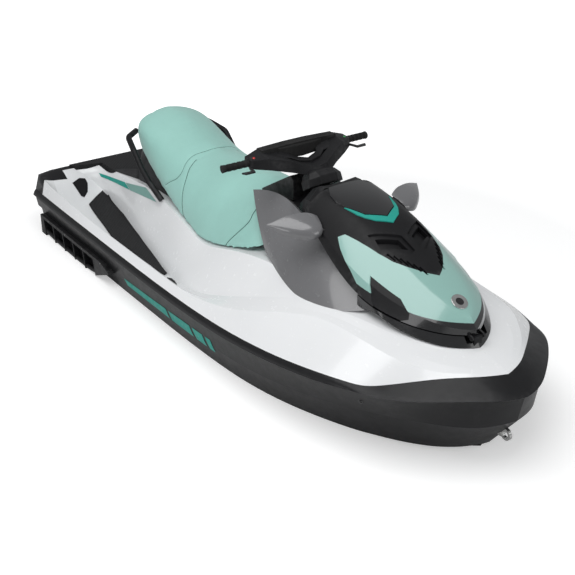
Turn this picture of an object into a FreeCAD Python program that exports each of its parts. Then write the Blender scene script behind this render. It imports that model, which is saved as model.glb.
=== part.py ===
import FreeCAD, Part
import Sketcher
import math
import os

os.makedirs("parts", exist_ok=True)
doc = FreeCAD.newDocument("watercraft")
Vector = FreeCAD.Vector
Rotation = FreeCAD.Rotation
Placement = FreeCAD.Placement

# Driving dimensions, in millimetres and degrees.
sizes = {
    "length": 3318,
    "beam": 1255,
    "height": 1138,
    "draft": 205,
    "seat_gap": 0.3,
    "pin_gap": 0.3,
    "running_gap": 0.5,
    "moving_gap": 5,
    "overrun": 20,
    "skirt": 40,
    "parting_height": "=height * 0.2944",
    "flange_step": 14,
    "rail_bulge": 20,
    "rail_drop": 7,
    "rail_foot": 12,
    "bumper_start": "=length * 0.853",
    "panel_wall": 14,
    "tunnel_width": 350,
    "tunnel_length": "=pump_front",
    "tunnel_top": "=parting_height - 10",
    "pump_height": 150,
    "pump_radius": 96,
    "pump_bore": 82,
    "pump_back": 250,
    "pump_front": 430,
    "flange_radius": 118,
    "flange_wall": 12,
    "venturi_neck": 195,
    "venturi_end": 150,
    "nozzle_bore": 38,
    "nozzle_wall": 8,
    "vane_wall": 4,
    "vane_sweep": 22,
    "vane_count": 7,
    "stator_hub": 28,
    "stator_back": 262,
    "stator_length": 60,
    "impeller_radius": 78,
    "impeller_hub": 30,
    "impeller_length": 78,
    "impeller_pitch": 190,
    "impeller_back": 330,
    "impeller_wall": 5,
    "impeller_blades": 4,
    "impeller_poles": 6,
    "shaft_radius": 14,
    "steer_pivot": 160,
    "steer_front": 10,
    "steer_straight": 15,
    "steer_length": 100,
    "steer_bore": 60,
    "steer_mouth": 40,
    "boss_radius": 13,
    "pin_radius": 7,
    "bucket_pivot": 20,
    "bucket_width": 176,
    "bucket_wall": 7,
    "bucket_radius": 118,
    "bucket_start": 60,
    "bucket_sweep": 90,
    "grate_start": "=length * 0.181",
    "grate_end": "=length * 0.3014",
    "grate_width": 170,
    "grate_bar": 9,
    "grate_bars": 5,
    "grate_depth": 20,
    "ride_plate_wall": 8,
    "ride_plate_start": 25,
    "ride_plate_base": 3,
    "ride_plate_rise": 51,
    "engine_back": "=length * 0.3255",
    "engine_length": 620,
    "engine_width": 420,
    "engine_base": 130,
    "engine_tall": "=parting_height - engine_base - 15",
    "bin_front": "=length * 0.8439",
    "bin_back": "=length * 0.7022",
    "bin_width": "=beam * 0.263",
    "bin_floor": "=height * 0.413",
    "bin_top": "=height * 0.602",
    "bin_wall": 4,
    "sponson_in": "=beam * 0.3825",
    "sponson_out": "=beam * 0.4972",
    "sponson_wall": 9,
    "sponson_bays": 5,
    "sponson_depth": 62,
    "bay_start": "=length * 0.0392",
    "bay_end": "=length * 0.2351",
    "bay_top": "=height * 0.2636",
    "bay_base": "=height * 0.167",
    "bay_lean": 24,
    "bay_depth": 32,
    "slot_count": 6,
    "slot_length": 46,
    "slot_width": 9,
    "slot_depth": 9,
    "slot_turn": 10,
    "scoop_depth": 11,
    "panel_lift": 6,
    "trim_lift": 4,
    "trim_start": "=length * 0.7782",
    "vent_wall": 14,
    "vent_sink": 5,
    "hinge_pin": 5,
    "lug_wall": 8,
    "lug_radius": 11,
    "lug_reach": 45,
    "lug_spread": 30,
    "bracket_depth": 60,
    "display_width": "=beam * 0.1594",
    "column_tilt": 32,
    "column_x": "=length * 0.5862",
    "column_z": "=height * 0.87873",
    "hub_radius": 46,
    "hub_low": -30,
    "hub_high": 40,
    "hub_bore": 20,
    "post_radius": 12,
    "post_depth": 120,
    "boot_radius": 70,
    "boot_depth": 80,
    "grip_radius": 16,
    "grip_rib": 1.2,
    "grip_ribs": 5,
    "lever_wall": 7,
    "glass_wall": 3,
    "well_mat_top": "=height * 0.319",
    "rear_mat_top": "=height * 0.4754",
    "mat_reach": 26,
    "handle_radius": 16,
    "handle_bend": 60,
    "eye_wire": 7,
    "eye_radius": 26,
    "eye_bore": 15,
    "transom_step": 55,
}
sheet = doc.addObject("Spreadsheet::Sheet", "sizes")
for row, (alias, value) in enumerate(sizes.items(), start=1):
    sheet.set("A%d" % row, alias)
    sheet.set("B%d" % row, str(value))
    sheet.setAlias("B%d" % row, alias)
doc.recompute()


def size(alias):
    return float(sheet.get(alias))


length = size("length")
half_beam = size("beam") / 2
height = size("height")
hull_frame = Placement(Vector(-length / 2, 0, -size("draft")), Rotation())
STARBOARD, PORT = -1, 1
SIDES = {"starboard": STARBOARD, "port": PORT}

# Feature lines from stern to bow, as poles in shares of length, half beam and height.
sheer_shares = [
    (0.000, 0.956, 0.384), (0.018, 0.959, 0.384), (0.051, 0.961, 0.384), (0.096, 0.963, 0.383),
    (0.217, 0.964, 0.383), (0.325, 0.964, 0.383), (0.386, 0.964, 0.384), (0.446, 0.963, 0.386),
    (0.524, 0.959, 0.390), (0.609, 0.953, 0.404), (0.678, 0.940, 0.424), (0.747, 0.908, 0.446),
    (0.808, 0.845, 0.466), (0.847, 0.776, 0.473), (0.869, 0.725, 0.475), (0.886, 0.629, 0.486),
    (0.922, 0.410, 0.523), (0.943, 0.263, 0.533), (0.962, 0.135, 0.539), (0.968, 0.000, 0.534),
]
gunwale_shares = [
    (0.000, 0.916, 0.457), (0.018, 0.921, 0.457), (0.051, 0.924, 0.446), (0.096, 0.921, 0.431),
    (0.217, 0.913, 0.413), (0.325, 0.910, 0.413), (0.386, 0.908, 0.413), (0.446, 0.908, 0.415),
    (0.524, 0.904, 0.416), (0.609, 0.861, 0.461), (0.675, 0.797, 0.529), (0.744, 0.614, 0.580),
    (0.808, 0.577, 0.576), (0.847, 0.555, 0.571), (0.868, 0.534, 0.565), (0.886, 0.494, 0.555),
    (0.919, 0.382, 0.538), (0.939, 0.247, 0.540), (0.958, 0.127, 0.542), (0.966, 0.000, 0.538),
]
well_outer_shares = [
    (0.000, 0.797, 0.466), (0.018, 0.829, 0.461), (0.060, 0.876, 0.387), (0.108, 0.873, 0.312),
    (0.217, 0.864, 0.312), (0.325, 0.864, 0.312), (0.386, 0.861, 0.330), (0.452, 0.856, 0.378),
    (0.524, 0.845, 0.406), (0.609, 0.797, 0.479), (0.675, 0.717, 0.547), (0.744, 0.574, 0.587),
    (0.808, 0.510, 0.587), (0.847, 0.478, 0.582), (0.868, 0.446, 0.574), (0.886, 0.398, 0.565),
    (0.916, 0.319, 0.552), (0.934, 0.207, 0.548), (0.954, 0.112, 0.546), (0.961, 0.000, 0.542),
]
well_inner_shares = [
    (0.000, 0.637, 0.467), (0.015, 0.574, 0.464), (0.033, 0.414, 0.378), (0.060, 0.375, 0.312),
    (0.217, 0.526, 0.312), (0.332, 0.645, 0.312), (0.392, 0.720, 0.321), (0.452, 0.792, 0.373),
    (0.518, 0.800, 0.400), (0.609, 0.736, 0.497), (0.678, 0.622, 0.571), (0.744, 0.526, 0.598),
    (0.808, 0.446, 0.602), (0.847, 0.398, 0.593), (0.868, 0.351, 0.584), (0.886, 0.303, 0.573),
    (0.913, 0.223, 0.559), (0.930, 0.151, 0.554), (0.948, 0.088, 0.550), (0.955, 0.000, 0.547),
]
pedestal_shares = [
    (0.000, 0.335, 0.468), (0.018, 0.335, 0.468), (0.048, 0.335, 0.470), (0.096, 0.338, 0.479),
    (0.217, 0.354, 0.527), (0.325, 0.454, 0.529), (0.386, 0.502, 0.512), (0.440, 0.534, 0.494),
    (0.512, 0.534, 0.567), (0.603, 0.510, 0.620), (0.678, 0.478, 0.606), (0.744, 0.414, 0.611),
    (0.808, 0.319, 0.611), (0.847, 0.271, 0.602), (0.868, 0.223, 0.593), (0.886, 0.175, 0.582),
    (0.910, 0.127, 0.567), (0.922, 0.088, 0.562), (0.937, 0.048, 0.555), (0.946, 0.000, 0.552),
]
deck_centre_shares = [
    (0.000, 0.000, 0.468), (0.018, 0.000, 0.468), (0.048, 0.000, 0.468), (0.096, 0.000, 0.468),
    (0.211, 0.000, 0.492), (0.325, 0.000, 0.527), (0.386, 0.000, 0.536), (0.440, 0.000, 0.536),
    (0.512, 0.000, 0.571), (0.603, 0.000, 0.615), (0.678, 0.000, 0.615), (0.744, 0.000, 0.615),
    (0.808, 0.000, 0.615), (0.847, 0.000, 0.606), (0.868, 0.000, 0.598), (0.886, 0.000, 0.587),
    (0.907, 0.000, 0.571), (0.916, 0.000, 0.568), (0.928, 0.000, 0.561), (0.937, 0.000, 0.556),
]
parting_shares = [
    (0.000, 0.860), (0.018, 0.861), (0.051, 0.862), (0.096, 0.863), (0.217, 0.864), (0.325, 0.864),
    (0.386, 0.864), (0.446, 0.862), (0.524, 0.855), (0.609, 0.835), (0.678, 0.795), (0.744, 0.715),
    (0.798, 0.600), (0.834, 0.490), (0.856, 0.405), (0.874, 0.325), (0.890, 0.245), (0.902, 0.160),
    (0.910, 0.080), (0.912, 0.000),
]
keel_shares = [
    (0.000, 0.000, 0.000), (0.018, 0.000, 0.000), (0.051, 0.000, 0.000), (0.096, 0.000, 0.000),
    (0.217, 0.000, 0.000), (0.325, 0.000, 0.000), (0.386, 0.000, 0.000), (0.446, 0.000, 0.000),
    (0.524, 0.000, 0.000), (0.615, 0.000, 0.001), (0.693, 0.000, 0.011), (0.766, 0.000, 0.030),
    (0.826, 0.000, 0.062), (0.859, 0.000, 0.088), (0.877, 0.000, 0.106), (0.892, 0.000, 0.123),
    (0.909, 0.000, 0.140), (0.921, 0.000, 0.152), (0.929, 0.000, 0.162), (0.932, 0.000, 0.167),
]
chine_inner_shares = [
    (0.000, 0.821, 0.132), (0.018, 0.822, 0.132), (0.051, 0.822, 0.132), (0.096, 0.822, 0.133),
    (0.217, 0.821, 0.134), (0.325, 0.819, 0.134), (0.386, 0.816, 0.134), (0.446, 0.813, 0.134),
    (0.524, 0.805, 0.135), (0.609, 0.779, 0.139), (0.678, 0.733, 0.146), (0.741, 0.653, 0.155),
    (0.799, 0.542, 0.165), (0.832, 0.454, 0.174), (0.855, 0.395, 0.180), (0.876, 0.335, 0.186),
    (0.900, 0.240, 0.191), (0.918, 0.155, 0.193), (0.930, 0.070, 0.194), (0.936, 0.000, 0.190),
]
chine_shares = [
    (0.000, 0.886, 0.139), (0.018, 0.888, 0.139), (0.051, 0.889, 0.139), (0.096, 0.889, 0.140),
    (0.217, 0.889, 0.141), (0.325, 0.886, 0.141), (0.386, 0.883, 0.141), (0.446, 0.880, 0.141),
    (0.524, 0.872, 0.142), (0.606, 0.849, 0.145), (0.672, 0.805, 0.152), (0.738, 0.722, 0.163),
    (0.796, 0.614, 0.173), (0.832, 0.534, 0.183), (0.856, 0.480, 0.190), (0.880, 0.415, 0.195),
    (0.908, 0.320, 0.203), (0.928, 0.220, 0.210), (0.942, 0.110, 0.216), (0.948, 0.000, 0.220),
]
hull_side_shares = [
    (0.000, 0.940, 0.264), (0.018, 0.942, 0.264), (0.051, 0.943, 0.264), (0.096, 0.945, 0.264),
    (0.217, 0.945, 0.264), (0.325, 0.945, 0.264), (0.386, 0.943, 0.264), (0.446, 0.942, 0.264),
    (0.524, 0.937, 0.266), (0.606, 0.927, 0.272), (0.675, 0.902, 0.285), (0.741, 0.846, 0.301),
    (0.802, 0.762, 0.318), (0.841, 0.677, 0.330), (0.862, 0.625, 0.338), (0.889, 0.560, 0.346),
    (0.925, 0.450, 0.356), (0.958, 0.330, 0.364), (0.982, 0.190, 0.372), (0.989, 0.000, 0.376),
]
flange_shares = [
    (0.000, 0.966, 0.349), (0.018, 0.969, 0.349), (0.051, 0.971, 0.349), (0.096, 0.972, 0.348),
    (0.217, 0.974, 0.348), (0.325, 0.974, 0.348), (0.386, 0.974, 0.349), (0.446, 0.972, 0.351),
    (0.524, 0.969, 0.355), (0.609, 0.963, 0.369), (0.678, 0.948, 0.388), (0.747, 0.915, 0.411),
    (0.811, 0.853, 0.432), (0.847, 0.794, 0.446), (0.873, 0.746, 0.455), (0.904, 0.688, 0.463),
    (0.943, 0.478, 0.475), (0.969, 0.311, 0.486), (0.994, 0.135, 0.486), (0.997, 0.000, 0.485),
]
seat_floor_shares = [
    (0.142, 0.000, 0.703), (0.143, 0.000, 0.699), (0.154, 0.000, 0.685), (0.187, 0.000, 0.641),
    (0.238, 0.000, 0.580), (0.289, 0.000, 0.536), (0.347, 0.000, 0.514), (0.407, 0.000, 0.496),
    (0.458, 0.000, 0.527), (0.512, 0.000, 0.589), (0.549, 0.000, 0.615), (0.555, 0.000, 0.624),
    (0.558, 0.000, 0.628),
]
seat_hem_shares = [
    (0.142, 0.000, 0.703), (0.143, 0.191, 0.703), (0.155, 0.295, 0.690), (0.190, 0.338, 0.650),
    (0.241, 0.370, 0.584), (0.295, 0.418, 0.545), (0.356, 0.478, 0.525), (0.416, 0.529, 0.503),
    (0.467, 0.535, 0.520), (0.530, 0.513, 0.576), (0.576, 0.478, 0.628), (0.577, 0.239, 0.629),
    (0.577, 0.000, 0.629),
]
seat_side_shares = [
    (0.139, 0.000, 0.756), (0.140, 0.223, 0.756), (0.151, 0.338, 0.747), (0.187, 0.367, 0.738),
    (0.238, 0.379, 0.694), (0.289, 0.398, 0.650), (0.347, 0.418, 0.633), (0.410, 0.430, 0.633),
    (0.455, 0.422, 0.641), (0.500, 0.398, 0.668), (0.530, 0.343, 0.703), (0.533, 0.175, 0.712),
    (0.535, 0.000, 0.712),
]
seat_shoulder_shares = [
    (0.141, 0.000, 0.817), (0.142, 0.191, 0.826), (0.154, 0.295, 0.830), (0.187, 0.303, 0.822),
    (0.238, 0.303, 0.782), (0.289, 0.287, 0.740), (0.347, 0.279, 0.729), (0.407, 0.271, 0.745),
    (0.443, 0.247, 0.754), (0.470, 0.231, 0.763), (0.488, 0.207, 0.766), (0.493, 0.112, 0.764),
    (0.494, 0.000, 0.761),
]
seat_crest_shares = [
    (0.143, 0.000, 0.826), (0.143, 0.000, 0.837), (0.154, 0.000, 0.854), (0.187, 0.000, 0.859),
    (0.238, 0.000, 0.824), (0.289, 0.000, 0.775), (0.347, 0.000, 0.763), (0.407, 0.000, 0.780),
    (0.440, 0.000, 0.787), (0.467, 0.000, 0.787), (0.485, 0.000, 0.778), (0.491, 0.000, 0.768),
    (0.493, 0.000, 0.764),
]
panel_top_shares = [
    (0.499, 0.271, 0.784), (0.527, 0.263, 0.813), (0.567, 0.247, 0.833), (0.621, 0.279, 0.807),
    (0.687, 0.327, 0.747), (0.784, 0.375, 0.646),
]
panel_middle_shares = [
    (0.542, 0.390, 0.703), (0.579, 0.422, 0.712), (0.621, 0.454, 0.703), (0.675, 0.454, 0.685),
    (0.729, 0.446, 0.650), (0.790, 0.379, 0.637),
]
panel_bottom_shares = [
    (0.585, 0.465, 0.627), (0.627, 0.526, 0.602), (0.675, 0.574, 0.576), (0.732, 0.590, 0.576),
    (0.772, 0.494, 0.598), (0.797, 0.386, 0.626),
]
lid_hem_shares = [
    (0.642, 0.327, 0.826), (0.687, 0.379, 0.778), (0.729, 0.405, 0.716), (0.769, 0.418, 0.677),
    (0.808, 0.418, 0.655), (0.844, 0.359, 0.639), (0.874, 0.263, 0.622), (0.898, 0.135, 0.611),
    (0.910, 0.000, 0.606),
]
lid_flank_shares = [
    (0.642, 0.327, 0.848), (0.681, 0.359, 0.817), (0.723, 0.379, 0.773), (0.763, 0.382, 0.738),
    (0.805, 0.367, 0.703), (0.841, 0.319, 0.677), (0.874, 0.239, 0.655), (0.898, 0.127, 0.633),
    (0.910, 0.000, 0.626),
]
lid_shoulder_shares = [
    (0.642, 0.239, 0.905), (0.675, 0.239, 0.896), (0.717, 0.247, 0.866), (0.759, 0.247, 0.826),
    (0.802, 0.223, 0.778), (0.838, 0.207, 0.740), (0.871, 0.159, 0.694), (0.892, 0.096, 0.659),
    (0.904, 0.000, 0.649),
]
lid_crown_shares = [
    (0.642, 0.080, 0.914), (0.675, 0.096, 0.910), (0.717, 0.096, 0.889), (0.759, 0.096, 0.852),
    (0.802, 0.088, 0.801), (0.838, 0.080, 0.757), (0.868, 0.064, 0.714), (0.889, 0.048, 0.677),
    (0.901, 0.000, 0.659),
]
lid_ridge_shares = [
    (0.642, 0.000, 0.914), (0.675, 0.000, 0.910), (0.717, 0.000, 0.889), (0.759, 0.000, 0.852),
    (0.802, 0.000, 0.801), (0.838, 0.000, 0.757), (0.868, 0.000, 0.714), (0.889, 0.000, 0.677),
    (0.900, 0.000, 0.661),
]
dash_base_shares = [
    (0.500, 0.255, 0.615), (0.536, 0.351, 0.615), (0.579, 0.414, 0.615), (0.633, 0.462, 0.606),
    (0.693, 0.462, 0.606), (0.778, 0.319, 0.606),
]
dash_flank_shares = [
    (0.500, 0.239, 0.703), (0.536, 0.271, 0.703), (0.579, 0.319, 0.703), (0.633, 0.351, 0.703),
    (0.693, 0.351, 0.650), (0.778, 0.303, 0.615),
]
dash_edge_shares = [
    (0.500, 0.231, 0.766), (0.536, 0.207, 0.791), (0.579, 0.191, 0.813), (0.633, 0.223, 0.791),
    (0.693, 0.271, 0.703), (0.778, 0.287, 0.628),
]
dash_top_shares = [
    (0.500, 0.000, 0.769), (0.536, 0.000, 0.795), (0.579, 0.000, 0.822), (0.633, 0.000, 0.804),
    (0.693, 0.000, 0.703), (0.778, 0.000, 0.628),
]
base_foot_shares = [
    (0.1085, 0.0000, 0.4394), (0.1085, 0.2231, 0.4394), (0.1266, 0.3028, 0.4394),
    (0.1808, 0.3267, 0.4394), (0.2411, 0.3267, 0.4394), (0.3014, 0.3426, 0.4394),
    (0.3617, 0.3665, 0.4394), (0.4099, 0.3665, 0.4394), (0.4219, 0.0000, 0.4394),
]
base_head_shares = [
    (0.1507, 0.0000, 0.7557), (0.1507, 0.1594, 0.7557), (0.1597, 0.2629, 0.7381),
    (0.1929, 0.2948, 0.6854), (0.2411, 0.3028, 0.6151), (0.3014, 0.3347, 0.5624),
    (0.3617, 0.3586, 0.5272), (0.4099, 0.3586, 0.5185), (0.4219, 0.0000, 0.5185),
]
emblem_shares = [
    (0.6432, 0.0000), (0.6432, 0.1355), (0.6600, 0.1880), (0.6781, 0.2040), (0.6932, 0.1833),
    (0.7188, 0.1243), (0.7345, 0.0000),
]
chevron_shares = [
    (0.6920, 0.1928), (0.7131, 0.1689), (0.7233, 0.1450), (0.7354, 0.0988), (0.7477, 0.0000),
]
chevron_inner_shares = [
    (0.6932, 0.1880), (0.7052, 0.1594), (0.7197, 0.1259), (0.7269, 0.0701), (0.7354, 0.0000),
]
scoop_shares = [
    (0.7462, 0.2120), (0.7697, 0.0255), (0.7957, 0.0191), (0.7993, 0.0637), (0.7734, 0.2279),
]
scoop_floor_shares = [
    (0.7553, 0.1880), (0.7715, 0.0574), (0.7896, 0.0478), (0.7715, 0.2040),
]
hood_centre_shares = [
    (0.6329, 0.0000), (0.6329, 0.5418), (0.7131, 0.5418), (0.7125, 0.3299), (0.7200, 0.2932),
    (0.7474, 0.2645), (0.7740, 0.2343), (0.7957, 0.1992), (0.8107, 0.1562), (0.8243, 0.0988),
    (0.8327, 0.0526), (0.8394, 0.0000),
]
hood_edge_shares = [
    (0.6329, 0.5272), (0.6329, 0.8392), (0.7131, 0.8392), (0.7131, 0.8128), (0.7263, 0.7838),
    (0.7550, 0.7355), (0.7715, 0.7030), (0.7866, 0.6714), (0.8017, 0.6327), (0.8017, 0.5272),
]
lid_hollow_shares = [
    (0.6649, 0.5800), (0.6649, 0.8401), (0.7535, 0.7803), (0.8017, 0.7118), (0.8439, 0.6450),
    (0.8439, 0.5800),
]
vent_shares = [
    (0.7836, 0.7399), (0.8333, 0.6995), (0.8514, 0.6661), (0.8535, 0.6459), (0.8258, 0.6151),
    (0.8041, 0.6634),
]
trim_foot_shares = [
    (0.6420, 0.3267, 0.5975), (0.6872, 0.3793, 0.5975), (0.7294, 0.4048, 0.5975),
    (0.7746, 0.4175, 0.6151), (0.8137, 0.4143, 0.6459), (0.8439, 0.3873, 0.6125),
    (0.8831, 0.2741, 0.5835), (0.9072, 0.1514, 0.5712), (0.9186, 0.0000, 0.5650),
]
slot_first_share = (0.7896, 0.1928, 0)
slot_last_share = (0.8264, 0.0765, 0)
hinge_share = (0.9126, 0, 0.6019)
collar_shares = [
    (0.5983, [(0.0717, 0.8392), (0.1434, 0.8392), (0.2072, 0.8172), (0.2390, 0.7557)]),
    (0.6118, [(0.0797, 0.8787), (0.1514, 0.8831), (0.2311, 0.8480), (0.2629, 0.7557)]),
    (0.6284, [(0.0876, 0.9051), (0.1594, 0.9104), (0.2470, 0.8612), (0.2948, 0.7557)]),
    (0.6450, [(0.0956, 0.9121), (0.1562, 0.9139), (0.2629, 0.8656), (0.3108, 0.7557)]),
]
display_shares = [
    (0.4907, 0.7469), (0.4895, 0.7671), (0.5603, 0.8893), (0.5681, 0.8743), (0.5681, 0.7909),
    (0.5124, 0.7469),
]
arm_shares = [
    (0.0000, [(0.5636, 0.8981), (0.5943, 0.9051), (0.5877, 0.9385), (0.5666, 0.9350)]),
    (0.0797, [(0.5546, 0.8998), (0.5913, 0.9086), (0.5847, 0.9438), (0.5654, 0.9429)]),
    (0.1912, [(0.5410, 0.9139), (0.5772, 0.9209), (0.5726, 0.9649), (0.5576, 0.9666)]),
    (0.3267, [(0.5250, 0.9279), (0.5624, 0.9332), (0.5576, 0.9772), (0.5268, 0.9930)]),
    (0.4382, [(0.5268, 0.9367), (0.5461, 0.9367), (0.5443, 0.9701), (0.5280, 0.9736)]),
]
pad_shares = [
    (0.0956, [(0.5238, 0.9701), (0.5413, 0.9666), (0.5401, 0.9982), (0.5259, 1.0000)]),
    (0.3267, [(0.5232, 0.9649), (0.5413, 0.9613), (0.5395, 0.9947), (0.5256, 0.9947)]),
]
grip_start_share = (0.5368, -0.4303, 0.9543)
grip_end_share = (0.5313, -0.6454, 0.9473)
lever_shares = [
    (0.5425, -0.4303, 0.9367), (0.5600, -0.4542, 0.9367), (0.5600, -0.5339, 0.9367),
    (0.5539, -0.5498, 0.9367), (0.5552, -0.4717, 0.9367), (0.5425, -0.4494, 0.9367),
]
mirror_low_shares = [
    (0.6450, 0.6629, 0.8348), (0.6631, 0.6135, 0.8040), (0.6826, 0.5100, 0.7909),
    (0.6932, 0.4223, 0.7909), (0.6902, 0.3745, 0.8014),
]
mirror_belly_shares = [
    (0.6456, 0.6661, 0.8392), (0.6676, 0.6183, 0.8392), (0.6887, 0.5100, 0.8392),
    (0.6992, 0.4064, 0.8348), (0.6932, 0.3538, 0.8304),
]
mirror_top_shares = [
    (0.6450, 0.6598, 0.8374), (0.6510, 0.5737, 0.8568), (0.6585, 0.4781, 0.8699),
    (0.6631, 0.3745, 0.8682), (0.6676, 0.3267, 0.8506),
]
mirror_arm_shares = [
    (0.4622, [(0.6631, 0.7979), (0.6841, 0.7953), (0.6811, 0.8216), (0.6600, 0.8260)]),
    (0.2948, [(0.6631, 0.8040), (0.6932, 0.7865), (0.6932, 0.8172), (0.6631, 0.8348)]),
]
well_mat_shares = [
    (0.0271, 0.3538), (0.0633, 0.6008), (0.0904, 0.7968), (0.1206, 0.8446), (0.3315, 0.8446),
    (0.3737, 0.8287), (0.3828, 0.7251), (0.3165, 0.6343), (0.1206, 0.4430),
]
rear_mat_shares = [
    (0.0018, 0.6135), (0.0136, 0.5737), (0.0256, 0.3426), (0.1055, 0.3267),
]
grab_shares = [
    (0.1417, 0.2709, 0.7381), (0.1597, 0.3984, 0.7337), (0.1989, 0.4542, 0.7074),
    (0.2245, 0.4574, 0.6371), (0.2411, 0.4430, 0.5888), (0.2712, 0.4175, 0.5272),
]
sponson_shares = [
    (0.0271, 0.1801), (0.0271, 0.2794), (0.2592, 0.2794), (0.2893, 0.2496), (0.2110, 0.1511),
    (0.0603, 0.1406),
]
bow_eye_share = (0.9665, 0, 0.2970)
stern_eye_share = (-0.7171, 0.2460)
keel_slope_share = 0.294
half_way_share = 0.45
glass_size_share = 0.86
eye_plate_share = 0.8
rail_knee_share = 0.35
rail_knee_out_share = 0.75


def line(shares, side=PORT):
    return [Vector(along * length, side * across * half_beam, up * height) for along, across, up in shares]


def moved(poles, along=0.0, across=0.0, up=0.0):
    shift = Vector(along, across, up)
    return [pole + shift for pole in poles]


def knots(count, degree):
    spans = count - degree
    ends = [degree + 1]
    return list(range(spans + 1)), ends + [1] * (spans - 1) + ends


def skin(lines, along=3, across=1):
    """One spline face through lines of poles, all with the same number of poles."""
    along = min(along, len(lines[0]) - 1)
    poles = [[row[station] for row in lines] for station in range(len(lines[0]))]
    u_knots, u_times = knots(len(poles), along)
    v_knots, v_times = knots(len(lines), across)
    surface = Part.BSplineSurface()
    surface.buildFromPolesMultsKnots(poles, u_times, v_times, u_knots, v_knots, False, False, along, across)
    return surface.toShape()


def toward(poles, others, distance):
    """Each pole moved a distance towards its neighbour, but never past its half-way point."""
    result = []
    for pole, other in zip(poles, others):
        gap = other - pole
        if gap.Length < 1e-6:
            result.append(Vector(pole))
        else:
            result.append(pole + gap * min(distance / gap.Length, half_way_share))
    return result


def strips(lines, rounds):
    """Faces from line to line, with a rounded strip along each inner line that has a radius."""
    faces = []
    start = lines[0]
    for index in range(1, len(lines)):
        here = lines[index]
        radius = rounds[index]
        last = index == len(lines) - 1
        if radius and not last:
            before = toward(here, lines[index - 1], radius)
            after = toward(here, lines[index + 1], radius)
            faces.append(skin([start, before]))
            faces.append(skin([before, here, after], across=2))
            start = after
        else:
            faces.append(skin([start, here]))
            start = here
    return faces


def capped(faces):
    """A closed solid from faces whose open ends are flat."""
    shell = Part.makeShell(faces)
    shell.sewShape()
    free = shell.getFreeEdges().Edges if hasattr(shell, "getFreeEdges") else []
    if free:
        loops = [Part.Wire(group) for group in Part.sortEdges(free)]
        faces = list(shell.Faces) + [Part.Face(loop) for loop in loops]
        shell = Part.makeShell(faces)
        shell.sewShape()
    solid = Part.Solid(shell)
    if solid.Volume < 0:
        solid.reverse()
    return solid


def both(chain_faces):
    """The same chain of faces built for each side."""
    faces = []
    for side in (STARBOARD, PORT):
        faces.extend(chain_faces(side))
    return faces


def thick(lines, shift, across=1, along=3):
    """A solid sheet: the face through the lines, and its copy moved by a shift, joined at their edges."""
    inner = [[pole + shift for pole in row] for row in lines]
    faces = [skin(lines, along, across), skin(inner, along, across)]
    for row, twin in ((lines[0], inner[0]), (lines[-1], inner[-1])):
        faces.append(skin([row, twin], along, 1))
    for station in (0, -1):
        row = [each[station] for each in lines]
        twin = [each[station] for each in inner]
        faces.append(skin([row, twin], across, 1))
    return capped(faces)


def box(low, high):
    """A box between two corners."""
    return Part.makeBox(high.x - low.x, high.y - low.y, high.z - low.z, low)


def prism(points, push):
    """A flat outline pushed along a vector."""
    face = Part.Face(Part.makePolygon(list(points) + [points[0]]))
    return face.extrude(push)


def tube(points, radius, bend):
    """A round bar along straight runs with rounded bends."""
    edges = []
    start = points[0]
    for index in range(1, len(points) - 1):
        corner = points[index]
        back = (points[index - 1] - corner).normalize()
        onward = (points[index + 1] - corner).normalize()
        half = back.getAngle(onward) / 2
        reach = min(bend / math.tan(half), half_way_share * min(
            (points[index - 1] - corner).Length, (points[index + 1] - corner).Length))
        real = reach * math.tan(half)
        enter = corner + back * reach
        leave = corner + onward * reach
        centre = corner + (back + onward).normalize() * (real / math.sin(half))
        middle = centre + (corner - centre).normalize() * real
        edges.append(Part.LineSegment(start, enter).toShape())
        edges.append(Part.Arc(enter, middle, leave).toShape())
        start = leave
    edges.append(Part.LineSegment(start, points[-1]).toShape())
    spine = Part.Wire(edges)
    direction = (points[1] - points[0]).normalize()
    profile = Part.Wire(Part.Circle(points[0], direction, radius).toShape())
    return spine.makePipeShell([profile], True, False)


def flat_face(curves):
    """A flat face inside spline lines that start and end in one plane."""
    edges = []
    for poles in curves:
        knot_row, times = knots(len(poles), 3)
        curve = Part.BSplineCurve()
        curve.buildFromPolesMultsKnots(poles, times, knot_row, False, 3)
        edges.append(curve.toShape())
    edges.append(Part.LineSegment(curves[0][0], curves[1][0]).toShape())
    return Part.Face(Part.Wire(Part.sortEdges(edges)[0]))


def polygon_loft(sections):
    """A straight-sided solid through closed sections with equal numbers of corners."""
    wires = [Part.makePolygon(list(points) + [points[0]]) for points in sections]
    return Part.makeLoft(wires, True, True)


def mirrored(shape):
    """The same shape on the other side of the centreline."""
    return shape.mirror(Vector(0, 0, 0), Vector(0, 1, 0))


def sided(shape, side):
    return shape if side == STARBOARD else mirrored(shape)


def pair(shape):
    """Two separate solids, one on each side."""
    return Part.makeCompound([shape, mirrored(shape)])


def at(along, across, up):
    """A place given as shares of length, half beam and height."""
    return Vector(along * length, across * half_beam, up * height)


def laid_on(solid, outline, push, lift):
    """A layer on a curved solid: the solid moved outwards, kept inside an outline, less the solid itself."""
    return solid.translated(lift).common(prism(outline, push)).cut(solid)


def sunk_into(solid, outline, push, drop):
    """A recess with a floor that follows the solid's own surface."""
    return solid.cut(prism(outline, push).cut(solid.translated(drop)))


def whole(shape):
    """The one solid of a boolean result, or all of them as a compound."""
    solids = [each for each in shape.Solids if each.Volume > 1]
    return solids[0] if len(solids) == 1 else Part.makeCompound(solids)


def keep(label, shape):
    """A sub-part of its own, placed in the common frame."""
    part = doc.addObject("Part::Feature", label)
    part.Label = label
    part.Shape = shape
    part.Placement = hull_frame.multiply(part.Placement)
    nodes.append(part)
    return part


nodes = []


def sheer_line(side):
    return line(sheer_shares, side)


def flange_line(side):
    return line(flange_shares, side)


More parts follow.
